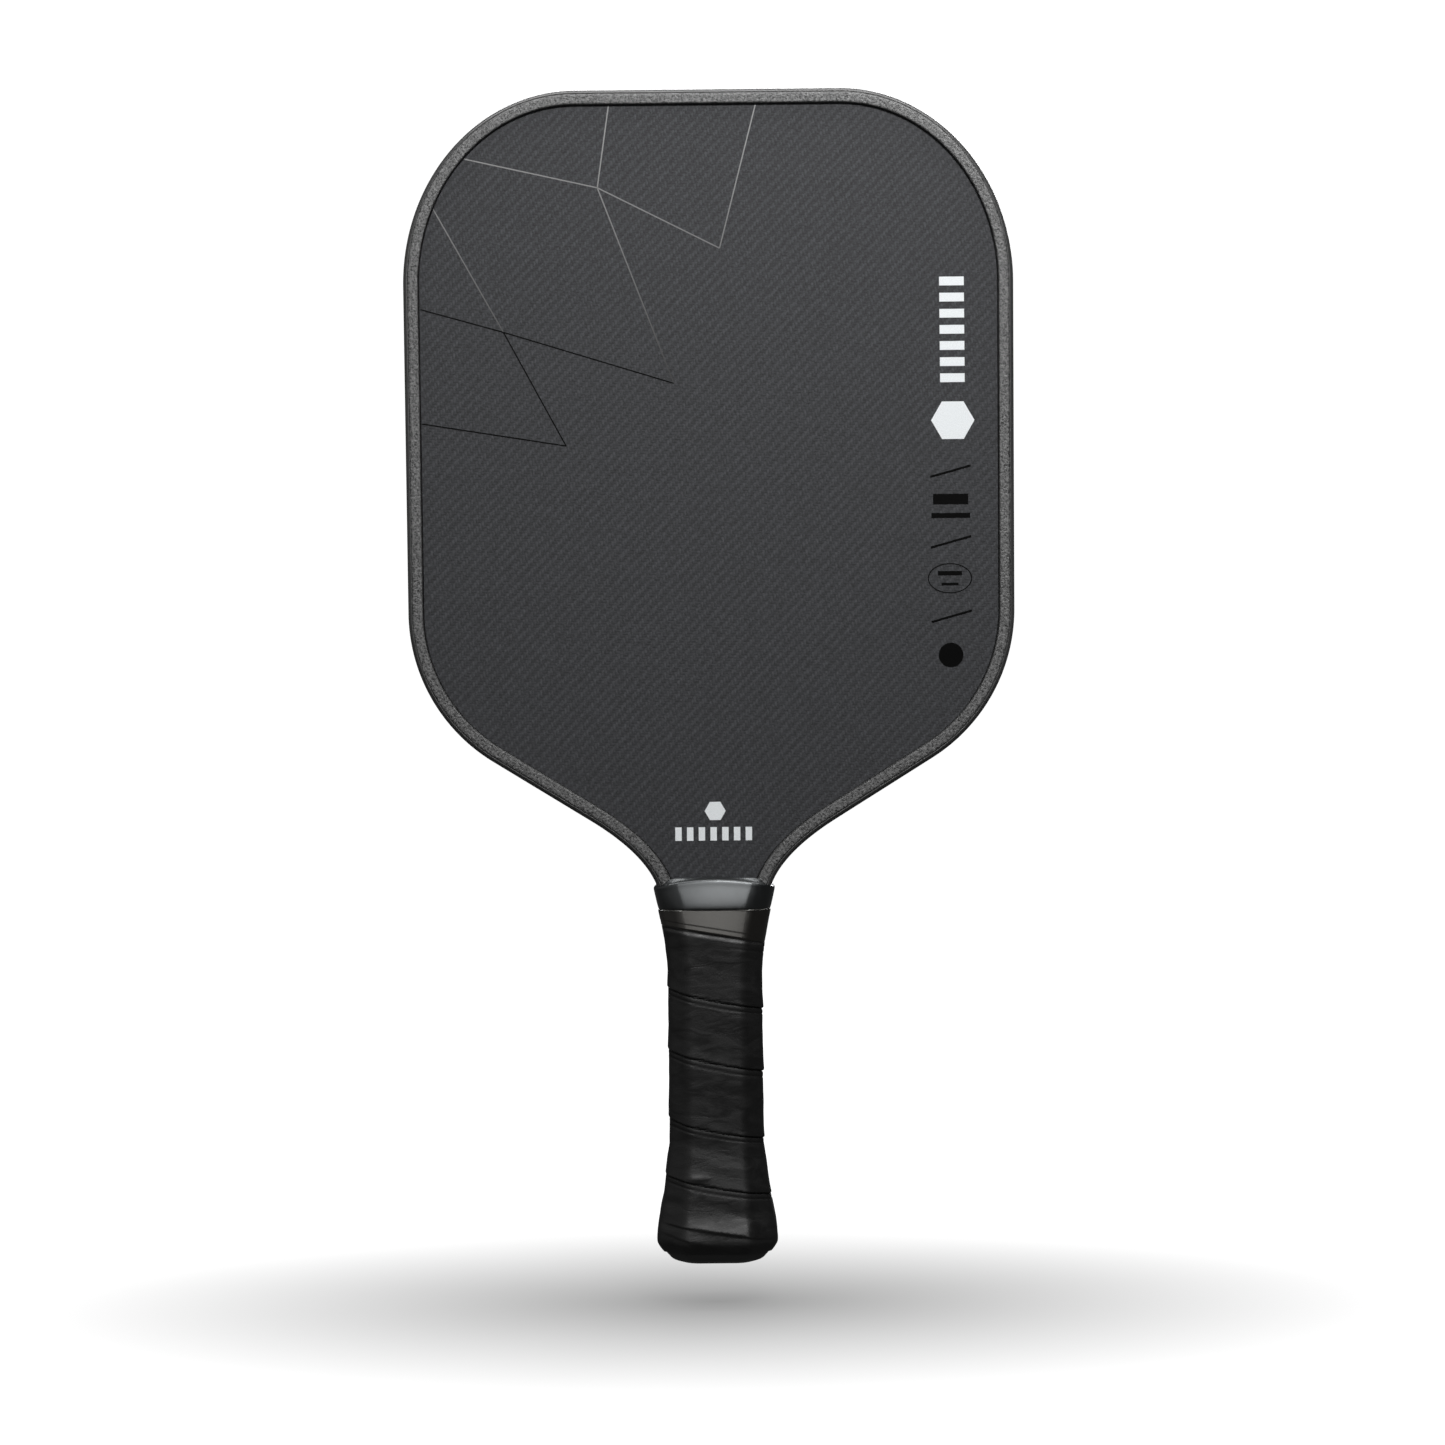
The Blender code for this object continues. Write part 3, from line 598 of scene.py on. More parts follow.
# %% Relief of the wound strip
WRAP = 1.5 * MM
WRAP_THINNING = 0.85 * WRAP
WRAP_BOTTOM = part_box("grip_wrap")[0].z
WRAP_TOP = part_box("grip_wrap")[1].z
WOUND_FROM = (14 * MM, 19 * MM)
WOUND_TO = (104 * MM, 109 * MM)
WIND_PITCH = 21.0 * MM
TOP_OVERLAP_Z = 112.3 * MM
WIND_SAG = 1.8 * MM
SLIP = 2.4 * MM
SLIP_AT = 47 * MM
SLIP_SPREAD = 13 * MM
EDGE_PROUD = 0.36 * MM
EDGE_FADE = 4.5 * MM
EDGE_ROUND = 0.35 * MM
LEDGE_WIDTH = 2.1 * MM
LEDGE_SINK = 0.03 * MM
FOOT_SINK = 0.5 * MM
FOOT_WIDTH = 0.45 * MM
SECOND_LINE = 0.22 * MM
SECOND_LINE_WIDTH = 0.25 * MM
TAPE_EDGE_Z = 112.2 * MM
TAPE_EDGE_SLOPE = 0.165
TAPE = 0.4 * MM
TAPE_PROUD = 0.3 * MM
TAPE_LEAN = 1.25 * MM
TAPE_BITE = 0.6 * MM
TAPE_BITE_BELOW = 0.5 * MM
TAPE_BITE_WIDTH = 0.6 * MM
TAPE_CROWN = 0.45 * MM
TAPE_BASE_Z = 115 * MM
TAPE_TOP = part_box("finishing_tape")[1].z


def way_round(ring):
    """How far round each point of a ring is, from the middle of the front, as a share of the whole turn."""
    steps = np.linalg.norm(np.diff(ring, axis=0, append=ring[:1]), axis=1)
    run = np.append(0, np.cumsum(steps)[:-1]) / steps.sum()
    start = ring[0, 0] / steps.sum()
    return run + start


def overlap_height(z, turn):
    """Height of a point above the overlap under it. The overlap falls by one pitch a turn, sags a little at the
    front, and slipped down a little in one place when it was wound."""
    sag = WIND_SAG * np.cos(2 * pi * turn)
    slip = SLIP * np.exp(-(((z - SLIP_AT) / SLIP_SPREAD) ** 2))
    return (z + slip - TOP_OVERLAP_Z + WIND_PITCH * turn + sag) % WIND_PITCH


def wound_relief(z, turn):
    """Relief over the plain sleeve: a bulge that grows towards the edge on top and rounds off at it, a foot below
    it, a shallow ledge, and the fine line where the skived margin ends."""
    above = overlap_height(z, turn)
    below = WIND_PITCH - above
    bulge = EDGE_PROUD * np.exp(-above / EDGE_FADE) * np.sqrt(np.clip(above / EDGE_ROUND, 0, 1))
    foot = FOOT_SINK * np.exp(-((below / FOOT_WIDTH) ** 2))
    ledge = LEDGE_SINK * smooth(LEDGE_WIDTH - below, -0.3 * MM, 0.3 * MM)
    line = SECOND_LINE * np.exp(-(((below - LEDGE_WIDTH) / SECOND_LINE_WIDTH) ** 2))
    return bulge - foot - ledge - line


print("overlaps along the handle", round((WRAP_TOP - WRAP_BOTTOM) / WIND_PITCH, 1))


# %% Relief of the butt and of the hand-wound surface
START_LAYERS = ((11.3 * MM, 0.156, 0.45 * MM), (5.3 * MM, 0.305, 0.25 * MM))  # height, slope and step of each edge
START_HALF_WIDTH = 19 * MM
START_FADE = 4 * MM
START_TOP_Z = 22 * MM
RIPPLE = 0.07 * MM
RIPPLE_WAVES = ((3, 61, 0.4), (5, 97, 1.9), (8, 173, 3.3), (2, 29, 5.0))  # waves a turn, waves a metre, shift
# Creases and dents as x, z, half width, half height and rise, all in mm.
CREASES = (
    (-7.0, 29.6, 3.0, 1.2, 0.5),
    (-15.0, 21.0, 4.0, 2.2, -0.35),
    (14.0, 17.5, 4.0, 2.6, -0.4),
    (5.0, 33.0, 6.0, 1.2, 0.1),
)


def start_relief(z, x):
    """At the butt the strip starts with short layers. Each bulges towards its slanted lower edge and ends there, and
    thins out towards the sides of the handle."""
    relief = 0
    middle = np.clip(1 - (x / START_HALF_WIDTH) ** 4, 0, 1)
    for height, slope, step in START_LAYERS:
        above = z - height + slope * x
        fade = np.exp(-np.clip(above, 0, None) / START_FADE)
        relief = relief + step * middle * fade * smooth(above, 0, 0.4 * MM)
        relief = relief - 0.3 * step * middle * smooth(-above, 0, 0.3 * MM)
    return relief


def creases(x, y, z):
    """A few creases and dents on the front near the butt, as Gaussian hills and hollows."""
    hills = 0
    for x0, z0, width, height, rise in CREASES:
        spread = ((x / MM - x0) / width) ** 2 + ((z / MM - z0) / height) ** 2
        hills = hills + rise * MM * np.exp(-spread)
    return hills * (y < 0)


def ripples(z, turn):
    """Slight unevenness from winding by hand: a few slow waves round and along the handle."""
    waves = 0
    for k, (around, along, shift) in enumerate(RIPPLE_WAVES):
        waves = waves + np.sin(2 * pi * (around * turn + along * z + shift)) / (k + 2)
    return RIPPLE * waves


print("deepest dent", min(crease[-1] for crease in CREASES), "mm")


# %% Wound grip
def tape_edge(x):
    """Height of the finishing tape's lower edge, which runs down to the right."""
    return TAPE_EDGE_Z - TAPE_EDGE_SLOPE * x


def tape_surface(x, z, out):
    """How far the tape stands out of the plain sleeve: proud at its lower edge, and leaning back above it on the
    front and the back, where the handle starts to thin down towards the head. Both are crowned a little."""
    t = np.clip((z - tape_edge(x)) / (TAPE_TOP - TAPE_EDGE_Z), 0, 1.2)
    crown = TAPE_CROWN * np.minimum(np.abs(x) / (FACET_HALF_WIDTH + neck_swell(z)), 1) ** 2
    return (TAPE_PROUD - TAPE_LEAN * t - crown) * np.abs(out[..., 1])


def make_grip_wrap(material):
    """The sleeve with all its reliefs. Under the tape it lies flat, just below the tape the tape's edge presses it
    in, and at the bottom it thins out on the cap. The skived margin, just under each overlapping edge, is marked for
    the material, which makes it matt and paints it darker as shade."""
    z = np.linspace(WRAP_BOTTOM, WRAP_TOP, 430)
    outer, out = handle_rings(z, GAP + WRAP)
    turn = way_round(grip_ring)[None, :]
    x, height = outer[..., 0], z[:, None]
    wound = smooth(height, *WOUND_FROM) * (1 - smooth(height, *WOUND_TO))
    relief = wound * wound_relief(height, turn) + ripples(height, turn) + creases(x, outer[..., 1], height)
    relief = relief + (1 - smooth(height, WOUND_FROM[0], START_TOP_Z)) * start_relief(height, x)
    bite = np.exp(-(((height - tape_edge(x) + TAPE_BITE_BELOW) / TAPE_BITE_WIDTH) ** 2))
    relief = relief - TAPE_BITE * bite * smooth(np.abs(out[..., 1]), 0.2, 0.7)
    under_tape = smooth(height - tape_edge(x), -0.2 * MM, 0.2 * MM)
    relief = relief * (1 - under_tape) + (tape_surface(x, height, out) - TAPE - 0.05 * MM) * under_tape
    relief = relief - WRAP_THINNING * (1 - smooth(height, WRAP_BOTTOM - 1 * MM, WRAP_BOTTOM + 3.5 * MM))
    outer = lift(outer + out * relief[..., None], z)
    inner_z = np.linspace(WRAP_TOP, WRAP_BOTTOM, 60)
    inner = lift(handle_rings(inner_z, GAP)[0], inner_z)
    below = WIND_PITCH - overlap_height(height, turn)
    # Painted shade: the skived margin just under each overlapping edge is marked, and the material colours it darker.
    skived = wound * smooth(LEDGE_WIDTH - below, -0.5 * MM, -0.2 * MM) * smooth(below, 0, 0.2 * MM)
    skived = np.concatenate([skived, np.zeros(inner.shape[:2])])
    mesh = surface("wound_grip", np.concatenate([outer, inner]), "joined", skived=skived)
    return add_piece(mesh, material, "wrap_polyurethane", "grip_wrap")


print("tape's edge from", *(round(tape_edge(x * MM) / MM, 1) for x in (-15, 15)), "mm on the left and right")


# %% Polyurethane finish and the grip
def tacky_polyurethane():
    """Polyurethane-coated nonwoven strip: near black, satin, with a faint unevenness. Its skived margin is matt, and
    is painted darker as the shade under the overlapping edge.
    """
    material, tree = new_finish("tacky_polyurethane")
    place = node(tree, "TexCoord")["Object"]
    pores = node(tree, "TexNoise", {"Vector": place, "Scale": 1 / (0.7 * MM), "Detail": 3.0, "Roughness": 0.6})[0]
    along = node(tree, "VectorMath", {0: place, 1: (1, 1, 2.6)}, operation="MULTIPLY")[0]
    smear = node(tree, "TexNoise", {"Vector": along, "Scale": 1 / (9 * MM), "Detail": 3.0, "Distortion": 1.0})[0]
    satin = {"Value": smear, "From Min": 0.35, "From Max": 0.65, "To Min": 0.32, "To Max": 0.52}
    rough = node(tree, "MapRange", satin)[0]
    skived = node(tree, "Attribute", attribute_name="skived")["Fac"]
    rough = node(tree, "Mix", {"Factor": skived, "A": rough, "B": 0.6})[0]
    colour = node(tree, "Mix", {"Factor": smear, "A": linear("#0F0F0F"), "B": linear("#1B1B1B")}, data_type="RGBA")[2]
    # Painted shade: the marked margin under each overlapping edge is coloured darker.
    colour = node(tree, "Mix", {"Factor": skived, "A": colour, "B": linear("#060606")}, data_type="RGBA")[2]
    soft = node(tree, "Bump", {"Height": smear, "Distance": 0.25 * MM, "Strength": 0.5})[0]
    bump = node(tree, "Bump", {"Height": pores, "Distance": 0.04 * MM, "Strength": 0.5, "Normal": soft})[0]
    shader = node(tree, "BsdfPrincipled", {"Base Color": colour, "Roughness": rough, "IOR": 1.45, "Normal": bump})[0]
    node(tree, "OutputMaterial", {"Surface": shader})
    return material


make_grip_wrap(tacky_polyurethane())

# %% [markdown]
# ## Finishing tape
#
# A glossy vinyl tape holds down the end of the strip. It goes round about twice, a little askew, so two slanted
# edges show. It is a thin sleeve like the wrap, whose lower edge isn't level: each column of points starts at its
# own height.

# %% Tape
SECOND_EDGE_RISE = 1.9 * MM
SECOND_EDGE_STEP = 0.06 * MM
LOWER_EDGE_STEP = 0.2 * MM


def make_tape(material):
    """A sleeve whose columns run from the slanted lower edge to the level top. It rounds down at the lower edge, and
    a small step a little higher is the edge of the turn beneath."""
    base = handle_rings(TAPE_BASE_Z, GAP + WRAP)[0][0]
    low = tape_edge(base[:, 0])[None, :]
    t = np.linspace(0, 1, 44)[:, None]
    z = low + (TAPE_TOP - low) * t
    columns = [handle_rings(z[:, k], GAP + WRAP) for k in range(len(base))]
    plain, out = (np.stack([column[part][:, k] for k, column in enumerate(columns)], axis=1) for part in (0, 1))
    stand = tape_surface(plain[..., 0], z, out)
    edges = SECOND_EDGE_STEP * smooth(z - low, SECOND_EDGE_RISE, SECOND_EDGE_RISE + 0.25 * MM)
    edges = edges - LOWER_EDGE_STEP * (1 - smooth(z - low, 0, 0.45 * MM))
    shell = np.concatenate([plain + out * (stand + edges)[..., None], z[..., None]], axis=-1)
    inner = np.concatenate([plain + out * (stand - TAPE)[..., None], z[..., None]], axis=-1)[::-8]
    mesh = surface("vinyl_tape", np.concatenate([shell, inner]), "joined")
    return add_piece(mesh, material, "gloss_tape", "finishing_tape")


print("tape", round((TAPE_TOP - TAPE_EDGE_Z) / MM, 1), "mm high at the middle")


# %% Vinyl finish and the tape
def gloss_vinyl():
    """Calendered vinyl tape: black with a trace of brown, glossy, with faint stretch marks."""
    material, tree = new_finish("gloss_vinyl")
    place = node(tree, "TexCoord")["Object"]
    marks = node(tree, "TexNoise", {"Vector": place, "Scale": 1 / (3 * MM), "Detail": 3.0, "Distortion": 0.8})[0]
    stretched = {"Value": marks, "From Min": 0.3, "From Max": 0.7, "To Min": 0.3, "To Max": 0.38}
    rough = node(tree, "MapRange", stretched)[0]
    bump = node(tree, "Bump", {"Height": marks, "Distance": 0.04 * MM, "Strength": 0.3})[0]
    shader = node(
        tree,
        "BsdfPrincipled",
        {
            "Base Color": linear("#090807"),
            "Specular Tint": (1.0, 0.97, 0.9, 1.0),
            "Coat Tint": (1.0, 0.98, 0.95, 1.0),
            "Roughness": rough,
            "IOR": 1.54,
            "Coat Weight": 1.0,
            "Coat Roughness": 0.32,
            "Normal": bump,
        },
    )[0]
    node(tree, "OutputMaterial", {"Surface": shader})
    return material


make_tape(gloss_vinyl())

# %% [markdown]
# ## Collar
#
# A glossy rubber collar is stretched over the joint between handle and head. It leans back from the handle's
# depth to the thin head, ends in a rolled lip that arches up in the middle, and behind the lip a flat flap lies
# against the face. A few rings with the right places describe it, and Subdivision Surface rounds them off.

# %% Collar
COLLAR_WALL = 0.8 * MM
COLLAR_CROWN = 0.06
COLLAR_ROUNDING = 7.2 * MM
# Each ring of the outside: height at the sides, rise in the middle, power of that arch, half depth at the front,
# half depth at the side facets, spread sideways. The first rings are the body, then the lip, then the flap.
COLLAR_RINGS = (
    (120.5, 0.0, 2, 14.25, 9.3, 1.50),
    (120.8, 0.1, 2, 14.40, 9.4, 1.72),
    (122.8, 0.7, 2, 14.00, 9.5, 1.78),
    (125.0, 1.4, 2, 13.30, 9.7, 1.78),
    (126.6, 2.0, 2, 12.70, 9.9, 1.74),
    (127.3, 2.4, 2, 12.55, 10.1, 1.72),
    (127.8, 2.8, 2, 12.30, 10.1, 1.62),
    (128.1, 2.9, 2, 11.70, 10.0, 1.40),
    (128.3, 3.0, 3, 10.90, 9.9, 1.10),
    (128.6, 3.0, 6, 10.30, 9.85, 0.90),
    (128.4, 2.9, 8, 9.75, 9.6, 0.60),
)


def collar_outline(width, depth, facet, side, rounding):
    """Rounded octagons whose front and back facets are crowned a little."""
    points = rounded_octagon(width, depth, facet, side, rounding, bend=4, run=3)[0]
    points[..., 1] *= 1 - COLLAR_CROWN * np.minimum(np.abs(points[..., 0]) / facet[:, None], 1) ** 2
    return points


def make_collar(material):
    """The outer rings from the bottom edge over the lip to the flap, and five inner rings back down."""
    sides, rise, power, depth, side, spread = np.array(COLLAR_RINGS).T * [[MM], [MM], [1], [MM], [MM], [MM]]
    width = HANDLE_HALF_WIDTH + neck_swell(sides) + spread
    facet = FACET_HALF_WIDTH + neck_swell(sides)
    points = collar_outline(width, depth, facet, side, COLLAR_ROUNDING)
    arch = 1 - np.abs(points[..., 0] / width[:, None]) ** power[:, None]
    outer = lift(points, sides[:, None] + rise[:, None] * np.clip(arch, 0, 1))
    half_wall = COLLAR_WALL / 2
    inner_rounding = COLLAR_ROUNDING - 0.6 * MM
    points = collar_outline(width - COLLAR_WALL, depth - half_wall, facet, side - half_wall, inner_rounding)
    inner = lift(points, outer[..., 2])[[-1, 6, 4, 2, 0]]
    piece = add_piece(surface("rolled_collar", np.concatenate([outer, inner]), "joined"), material,
                      "collar_rubber", "handle_collar", crease=180)
    rounding = piece.modifiers.new("rounding", "SUBSURF")
    rounding.levels = rounding.render_levels = 2
    return piece


print("collar", len(COLLAR_RINGS), "outer rings")


# %% Rubber finish and the collar
def gloss_rubber():
    """Moulded thermoplastic rubber: deep black with a wet shine and a little blur."""
    material, tree = new_finish("gloss_rubber")
    place = node(tree, "TexCoord")["Object"]
    haze = node(tree, "TexNoise", {"Vector": place, "Scale": 1 / (2.2 * MM), "Detail": 2.0, "Roughness": 0.5})[0]
    blur = {"Value": haze, "From Min": 0.3, "From Max": 0.7, "To Min": 0.28, "To Max": 0.36}
    rough = node(tree, "MapRange", blur)[0]
    bump = node(tree, "Bump", {"Height": haze, "Distance": 0.02 * MM, "Strength": 0.3})[0]
    shader = node(
        tree,
        "BsdfPrincipled",
        {
            "Base Color": linear("#0A0B0B"),
            "Specular Tint": (0.93, 0.98, 1.0, 1.0),
            "Coat Tint": (0.95, 0.98, 1.0, 1.0),
            "Roughness": rough,
            "IOR": 1.52,
            "Coat Weight": 1.0,
            "Coat Roughness": 0.28,
            "Normal": bump,
        },
    )[0]
    node(tree, "OutputMaterial", {"Surface": shader})
    return material


make_collar(gloss_rubber())

# %% [markdown]
# ## Butt cap and badge
#
# The strip is wound over a plastic cap, and the cap's rounded rim shows below it. Its end is flat with a shallow
# recess for a badge. The cap is one profile carried round the octagon: from the middle of the recess out to the
# rim, up the outside, over the top edge and down the pocket for the handle. Both ends of the profile are poles.

# %% Cap
CAP_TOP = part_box("butt_cap")[1].z
CAP_FLOOR = 3.8 * MM
BADGE_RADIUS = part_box("butt_cap_badge")[1].x
BADGE_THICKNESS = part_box("butt_cap_badge")[1].z


def round_like(ring, radius):
    """A circle with as many points as the ring, each in the same direction from the middle."""
    return radius * ring / np.linalg.norm(ring, axis=-1, keepdims=True)


def make_cap(material):
    """Rings out from the middle of the recess, up the outside, down the pocket and in over its floor."""
    outside_z = CAP_TOP * np.linspace(0, 1, 34) ** 1.6
    outside = lift(handle_rings(outside_z, 0)[0], outside_z)
    end = outside[0, :, :2]
    recess = BADGE_RADIUS + GAP
    recess_top = BADGE_THICKNESS + GAP
    steps = [(round_like(end, r), z) for r, z in ((0, recess_top), (recess * 0.6, recess_top), (recess, recess_top))]
    steps += [(round_like(end, recess), 0.15 * MM), (round_like(end, recess + 0.15 * MM), 0)]
    below = np.concatenate([lift(ring[None], z) for ring, z in steps])
    pocket_z = np.array([CAP_TOP, CAP_FLOOR])
    pocket = lift(handle_rings(np.full(2, BUTT_FLARE_TOP), GAP)[0], pocket_z)
    floor = np.append(pocket[-1:, :, :2] * 0.5, pocket[-1:, :, :2] * 0, axis=0)
    rows = np.concatenate([below, outside, pocket, lift(floor, CAP_FLOOR * np.ones(2))])
    return add_piece(surface("flared_cap", rows, "poles"), material, "cap_plastic", "butt_cap", crease=35)


print("cap", round(CAP_TOP / MM, 1), "mm high")


# %% Badge
def make_badge(material):
    """A blank disc: its profile runs from the middle of the underside round a softened edge to the middle above."""
    turn = np.linspace(0, 2 * pi, 96, endpoint=False)
    circle = np.stack([np.cos(turn), np.sin(turn)], axis=1)
    ease = 0.12 * MM
    profile = [(0, 0.05), (0.55, 0.05), (0.8, 0.05), (0.84, 0)]
    steps = [(r * BADGE_RADIUS, z * MM) for r, z in profile]
    steps += [(BADGE_RADIUS - ease, 0), (BADGE_RADIUS, ease), (BADGE_RADIUS, BADGE_THICKNESS), (0, BADGE_THICKNESS)]
    rows = np.concatenate([lift(circle[None] * r, z) for r, z in steps])
    return add_piece(surface("end_badge", rows, "poles"), material, "badge_plastic", "butt_cap_badge", crease=35)


print("badge", round(2 * BADGE_RADIUS / MM, 1), "mm across")


# %% Moulded finish, the cap and the badge
def moulded_black_plastic(name, tone, roughness):
    """Injection-moulded polypropylene: black, with the fine orange peel of a blasted mould."""
    material, tree = new_finish(name)
    place = node(tree, "TexCoord")["Object"]
    peel = node(tree, "TexNoise", {"Vector": place, "Scale": 1 / (0.4 * MM), "Detail": 2.0})[0]
    shade = node(tree, "MapRange", {"Value": peel, "To Min": 0.8, "To Max": 1.2})[0]
    colour = node(tree, "VectorMath", {0: linear(tone)[:3], "Scale": shade}, operation="SCALE")[0]
    bump = node(tree, "Bump", {"Height": peel, "Distance": 0.02 * MM, "Strength": 0.5})[0]
    values = {"Base Color": colour, "Roughness": roughness, "IOR": 1.49, "Normal": bump}
    shader = node(tree, "BsdfPrincipled", values)[0]
    node(tree, "OutputMaterial", {"Surface": shader})
    return material


make_cap(moulded_black_plastic("moulded_polypropylene", "#2A2A2A", 0.45))
make_badge(moulded_black_plastic("polished_polypropylene", "#262626", 0.2))

# %% [markdown]
# ## Prints on the face
#
# The face carries screen prints, a film of ink some hundredths of a millimetre thick. All of them here are plain
# shapes: bars, a hexagon, rings, discs and thin lines. Each mark is a thin closed plate on the skin, because a
# plate has crisp edges and keeps its place. A stroke is a box between two points, and a filled shape or a ring is
# an outline given a thickness.

# %% Ink shapes
INK = 0.04 * MM
INK_BACK_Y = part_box("front_face_sheet")[0].y
INK_FRONT_Y = INK_BACK_Y - INK


def strokes(starts, ends, width):
    """Boxes of ink from starts to ends, in mm: the four corners lie half a width to each side of the line."""
    starts, ends = np.array(starts) * MM, np.array(ends) * MM
    along = ends - starts
    along /= np.linalg.norm(along, axis=1, keepdims=True)
    side = np.stack([along[:, 1], -along[:, 0]], axis=1) * np.reshape(width, (-1, 1)) * MM / 2
    corners = np.stack([starts - side, starts + side, ends + side, ends - side], axis=1)
    front = np.insert(corners, 1, INK_FRONT_Y, axis=2)
    back = np.insert(corners, 1, INK_BACK_Y, axis=2)
    points = np.concatenate([front, back], axis=1)
    box = np.array([(0, 1, 2, 3), (7, 6, 5, 4), (0, 4, 5, 1), (1, 5, 6, 2), (2, 6, 7, 3), (3, 7, 4, 0)])
    faces = box[None] + 8 * np.arange(len(starts))[:, None, None]
    return points.reshape(-1, 3), faces.reshape(-1, 4).tolist()


def filled(centre, radii, count, tilt=0.0):
    """A filled ellipse or regular polygon of ink, in mm."""
    turn = np.linspace(0, 2 * pi, count, endpoint=False) + tilt
    outline = np.array(centre) * MM + np.stack([np.cos(turn), np.sin(turn)], axis=1) * np.array(radii) * MM
    points = np.concatenate([np.insert(outline, 1, y, axis=1) for y in (INK_FRONT_Y, INK_BACK_Y)])
    k = np.arange(count)
    walls = np.stack([k, k + count, (k + 1) % count + count, (k + 1) % count], axis=1).tolist()
    return points, [k.tolist(), (k[::-1] + count).tolist(), *walls]


def ring(centre, radii, width, count=72):
    """A thin elliptical ring of ink, in mm: a four-cornered section carried round the ellipse."""
    turn = np.linspace(0, 2 * pi, count, endpoint=False)
    unit = np.stack([np.cos(turn), np.sin(turn)], axis=1)
    loops = []
    for grow, y in ((0, INK_FRONT_Y), (width, INK_FRONT_Y), (width, INK_BACK_Y), (0, INK_BACK_Y)):
        loops.append(np.insert(np.array(centre) * MM + unit * (np.array(radii) + grow) * MM, 1, y, axis=1))
    index = np.arange(4 * count).reshape(4, count)
    index = np.vstack([index, index[:1]])
    beside = np.roll(index, -1, axis=1)
    quads = np.stack([index[:-1], beside[:-1], beside[1:], index[1:]], axis=-1).reshape(-1, 4)
    return np.concatenate(loops), quads.tolist()


def ink_piece(name, shapes, material, slot):
    """Join several shapes of ink into one piece. Each shape is closed, and its faces are turned outwards."""
    points, faces, start = [], [], 0
    for shape_points, shape_faces in shapes:
        points.append(shape_points)
        faces += [[start + k for k in face] for face in shape_faces]
        start += len(shape_points)
    mesh = bpy.data.meshes.new(name)
    mesh.from_pydata(np.concatenate(points), [], faces)
    bm = bmesh.new()
    bm.from_mesh(mesh)
    bmesh.ops.recalc_face_normals(bm, faces=bm.faces)
    bm.to_mesh(mesh)
    bm.free()
    return add_piece(mesh, material, slot, crease=20)


print("ink", INK / MM, "mm thick on a skin at", round(INK_BACK_Y / MM, 2), "mm")


# %% Ink finish
def screen_ink(name, colour, roughness, fade_to=None, fade=(0, 1), specular=0.5):
    """Two-part screen ink: flat and even, with small pinholes of the rough face under it. It can fade with height."""
    material, tree = new_finish(name)
    place = node(tree, "TexCoord")["Object"]
    height = node(tree, "SeparateXYZ", {0: place})["Z"]
    pinholes = node(tree, "TexNoise", {"Vector": place, "Scale": 1 / (0.35 * MM), "Detail": 2.0})[0]
    shade = node(tree, "MapRange", {"Value": pinholes, "From Min": 0.3, "To Min": 0.8, "To Max": 1.08})[0]
    up = node(tree, "MapRange", {"Value": height, "From Min": fade[0], "From Max": fade[1]})[0]
    mixed = {"Factor": up, "A": linear(fade_to or colour), "B": linear(colour)}
    tint = node(tree, "Mix", mixed, data_type="RGBA")[2]
    tint = node(tree, "VectorMath", {0: tint, "Scale": shade}, operation="SCALE")[0]
    bump = node(tree, "Bump", {"Height": pinholes, "Distance": 0.03 * MM, "Strength": 0.4})[0]
    values = {"Base Color": tint, "Roughness": roughness, "IOR": 1.5, "Specular IOR Level": specular, "Normal": bump}
    shader = node(tree, "BsdfPrincipled", values)[0]
    node(tree, "OutputMaterial", {"Surface": shader})
    return material


white_ink = screen_ink("white_screen_ink", "#F2F6F8", 0.6)
black_ink = screen_ink("black_screen_ink", "#040404", 0.5, specular=0.05)
print("inks", white_ink.name, black_ink.name)


# %% Plain marks in the margin and at the neck
# Places and sizes of the marks on the face, in mm.
MARGIN_X = 82.0
BAR_LENGTH = 8.4
BAR_WIDTH = 3.0
BAR_STEP = 5.5
COLUMN_BOTTOM_Z = 301.0
NECK_BAR_Z = 146.2
NECK_BAR_HEIGHT = 4.6
NECK_BAR_STEP = 4.0
NECK_BAR_WIDTH = 2.2
SEPARATOR_Z = (269.1, 245.0, 219.6)
SEPARATOR_HALF = (6.9, 1.9)
SEPARATOR_WIDTH = 0.75
MARGIN_HEXAGON = ((MARGIN_X + 1, 286.5), (7.4, 7.4), 6)
NECK_HEXAGON = ((0.6, 154.0), (3.6, 3.6), 6)
MARGIN_DISC = ((81.6, 206.4), (4.2, 4.2), 48)
MARGIN_OVAL = ((81.5, 232.6), (7.2, 4.8), 0.35)
LABEL_STARTS = ((76.0, 259.6), (75.4, 254.0), (77.4, 234.3), (78.6, 230.6))
LABEL_ENDS = ((88.0, 259.6), (88.6, 254.0), (85.6, 234.3), (84.4, 230.6))
LABEL_WIDTHS = (3.6, 1.7, 1.5, 0.9)

column = [COLUMN_BOTTOM_Z + k * BAR_STEP for k in range(7)]
left, right = (MARGIN_X + 1 + sign * BAR_LENGTH / 2 for sign in (-1, 1))
bars = strokes([(left, z) for z in column], [(right, z) for z in column], BAR_WIDTH)
ink_piece("margin_bars", [bars, filled(*MARGIN_HEXAGON)], white_ink, "face_print_light")

row = [NECK_BAR_STEP * (k - 3) for k in range(7)]
low, high = (NECK_BAR_Z + sign * NECK_BAR_HEIGHT / 2 for sign in (-1, 1))
bars = strokes([(x, low) for x in row], [(x, high) for x in row], NECK_BAR_WIDTH)
ink_piece("neck_bars", [bars, filled(*NECK_HEXAGON)], white_ink, "face_print_light")

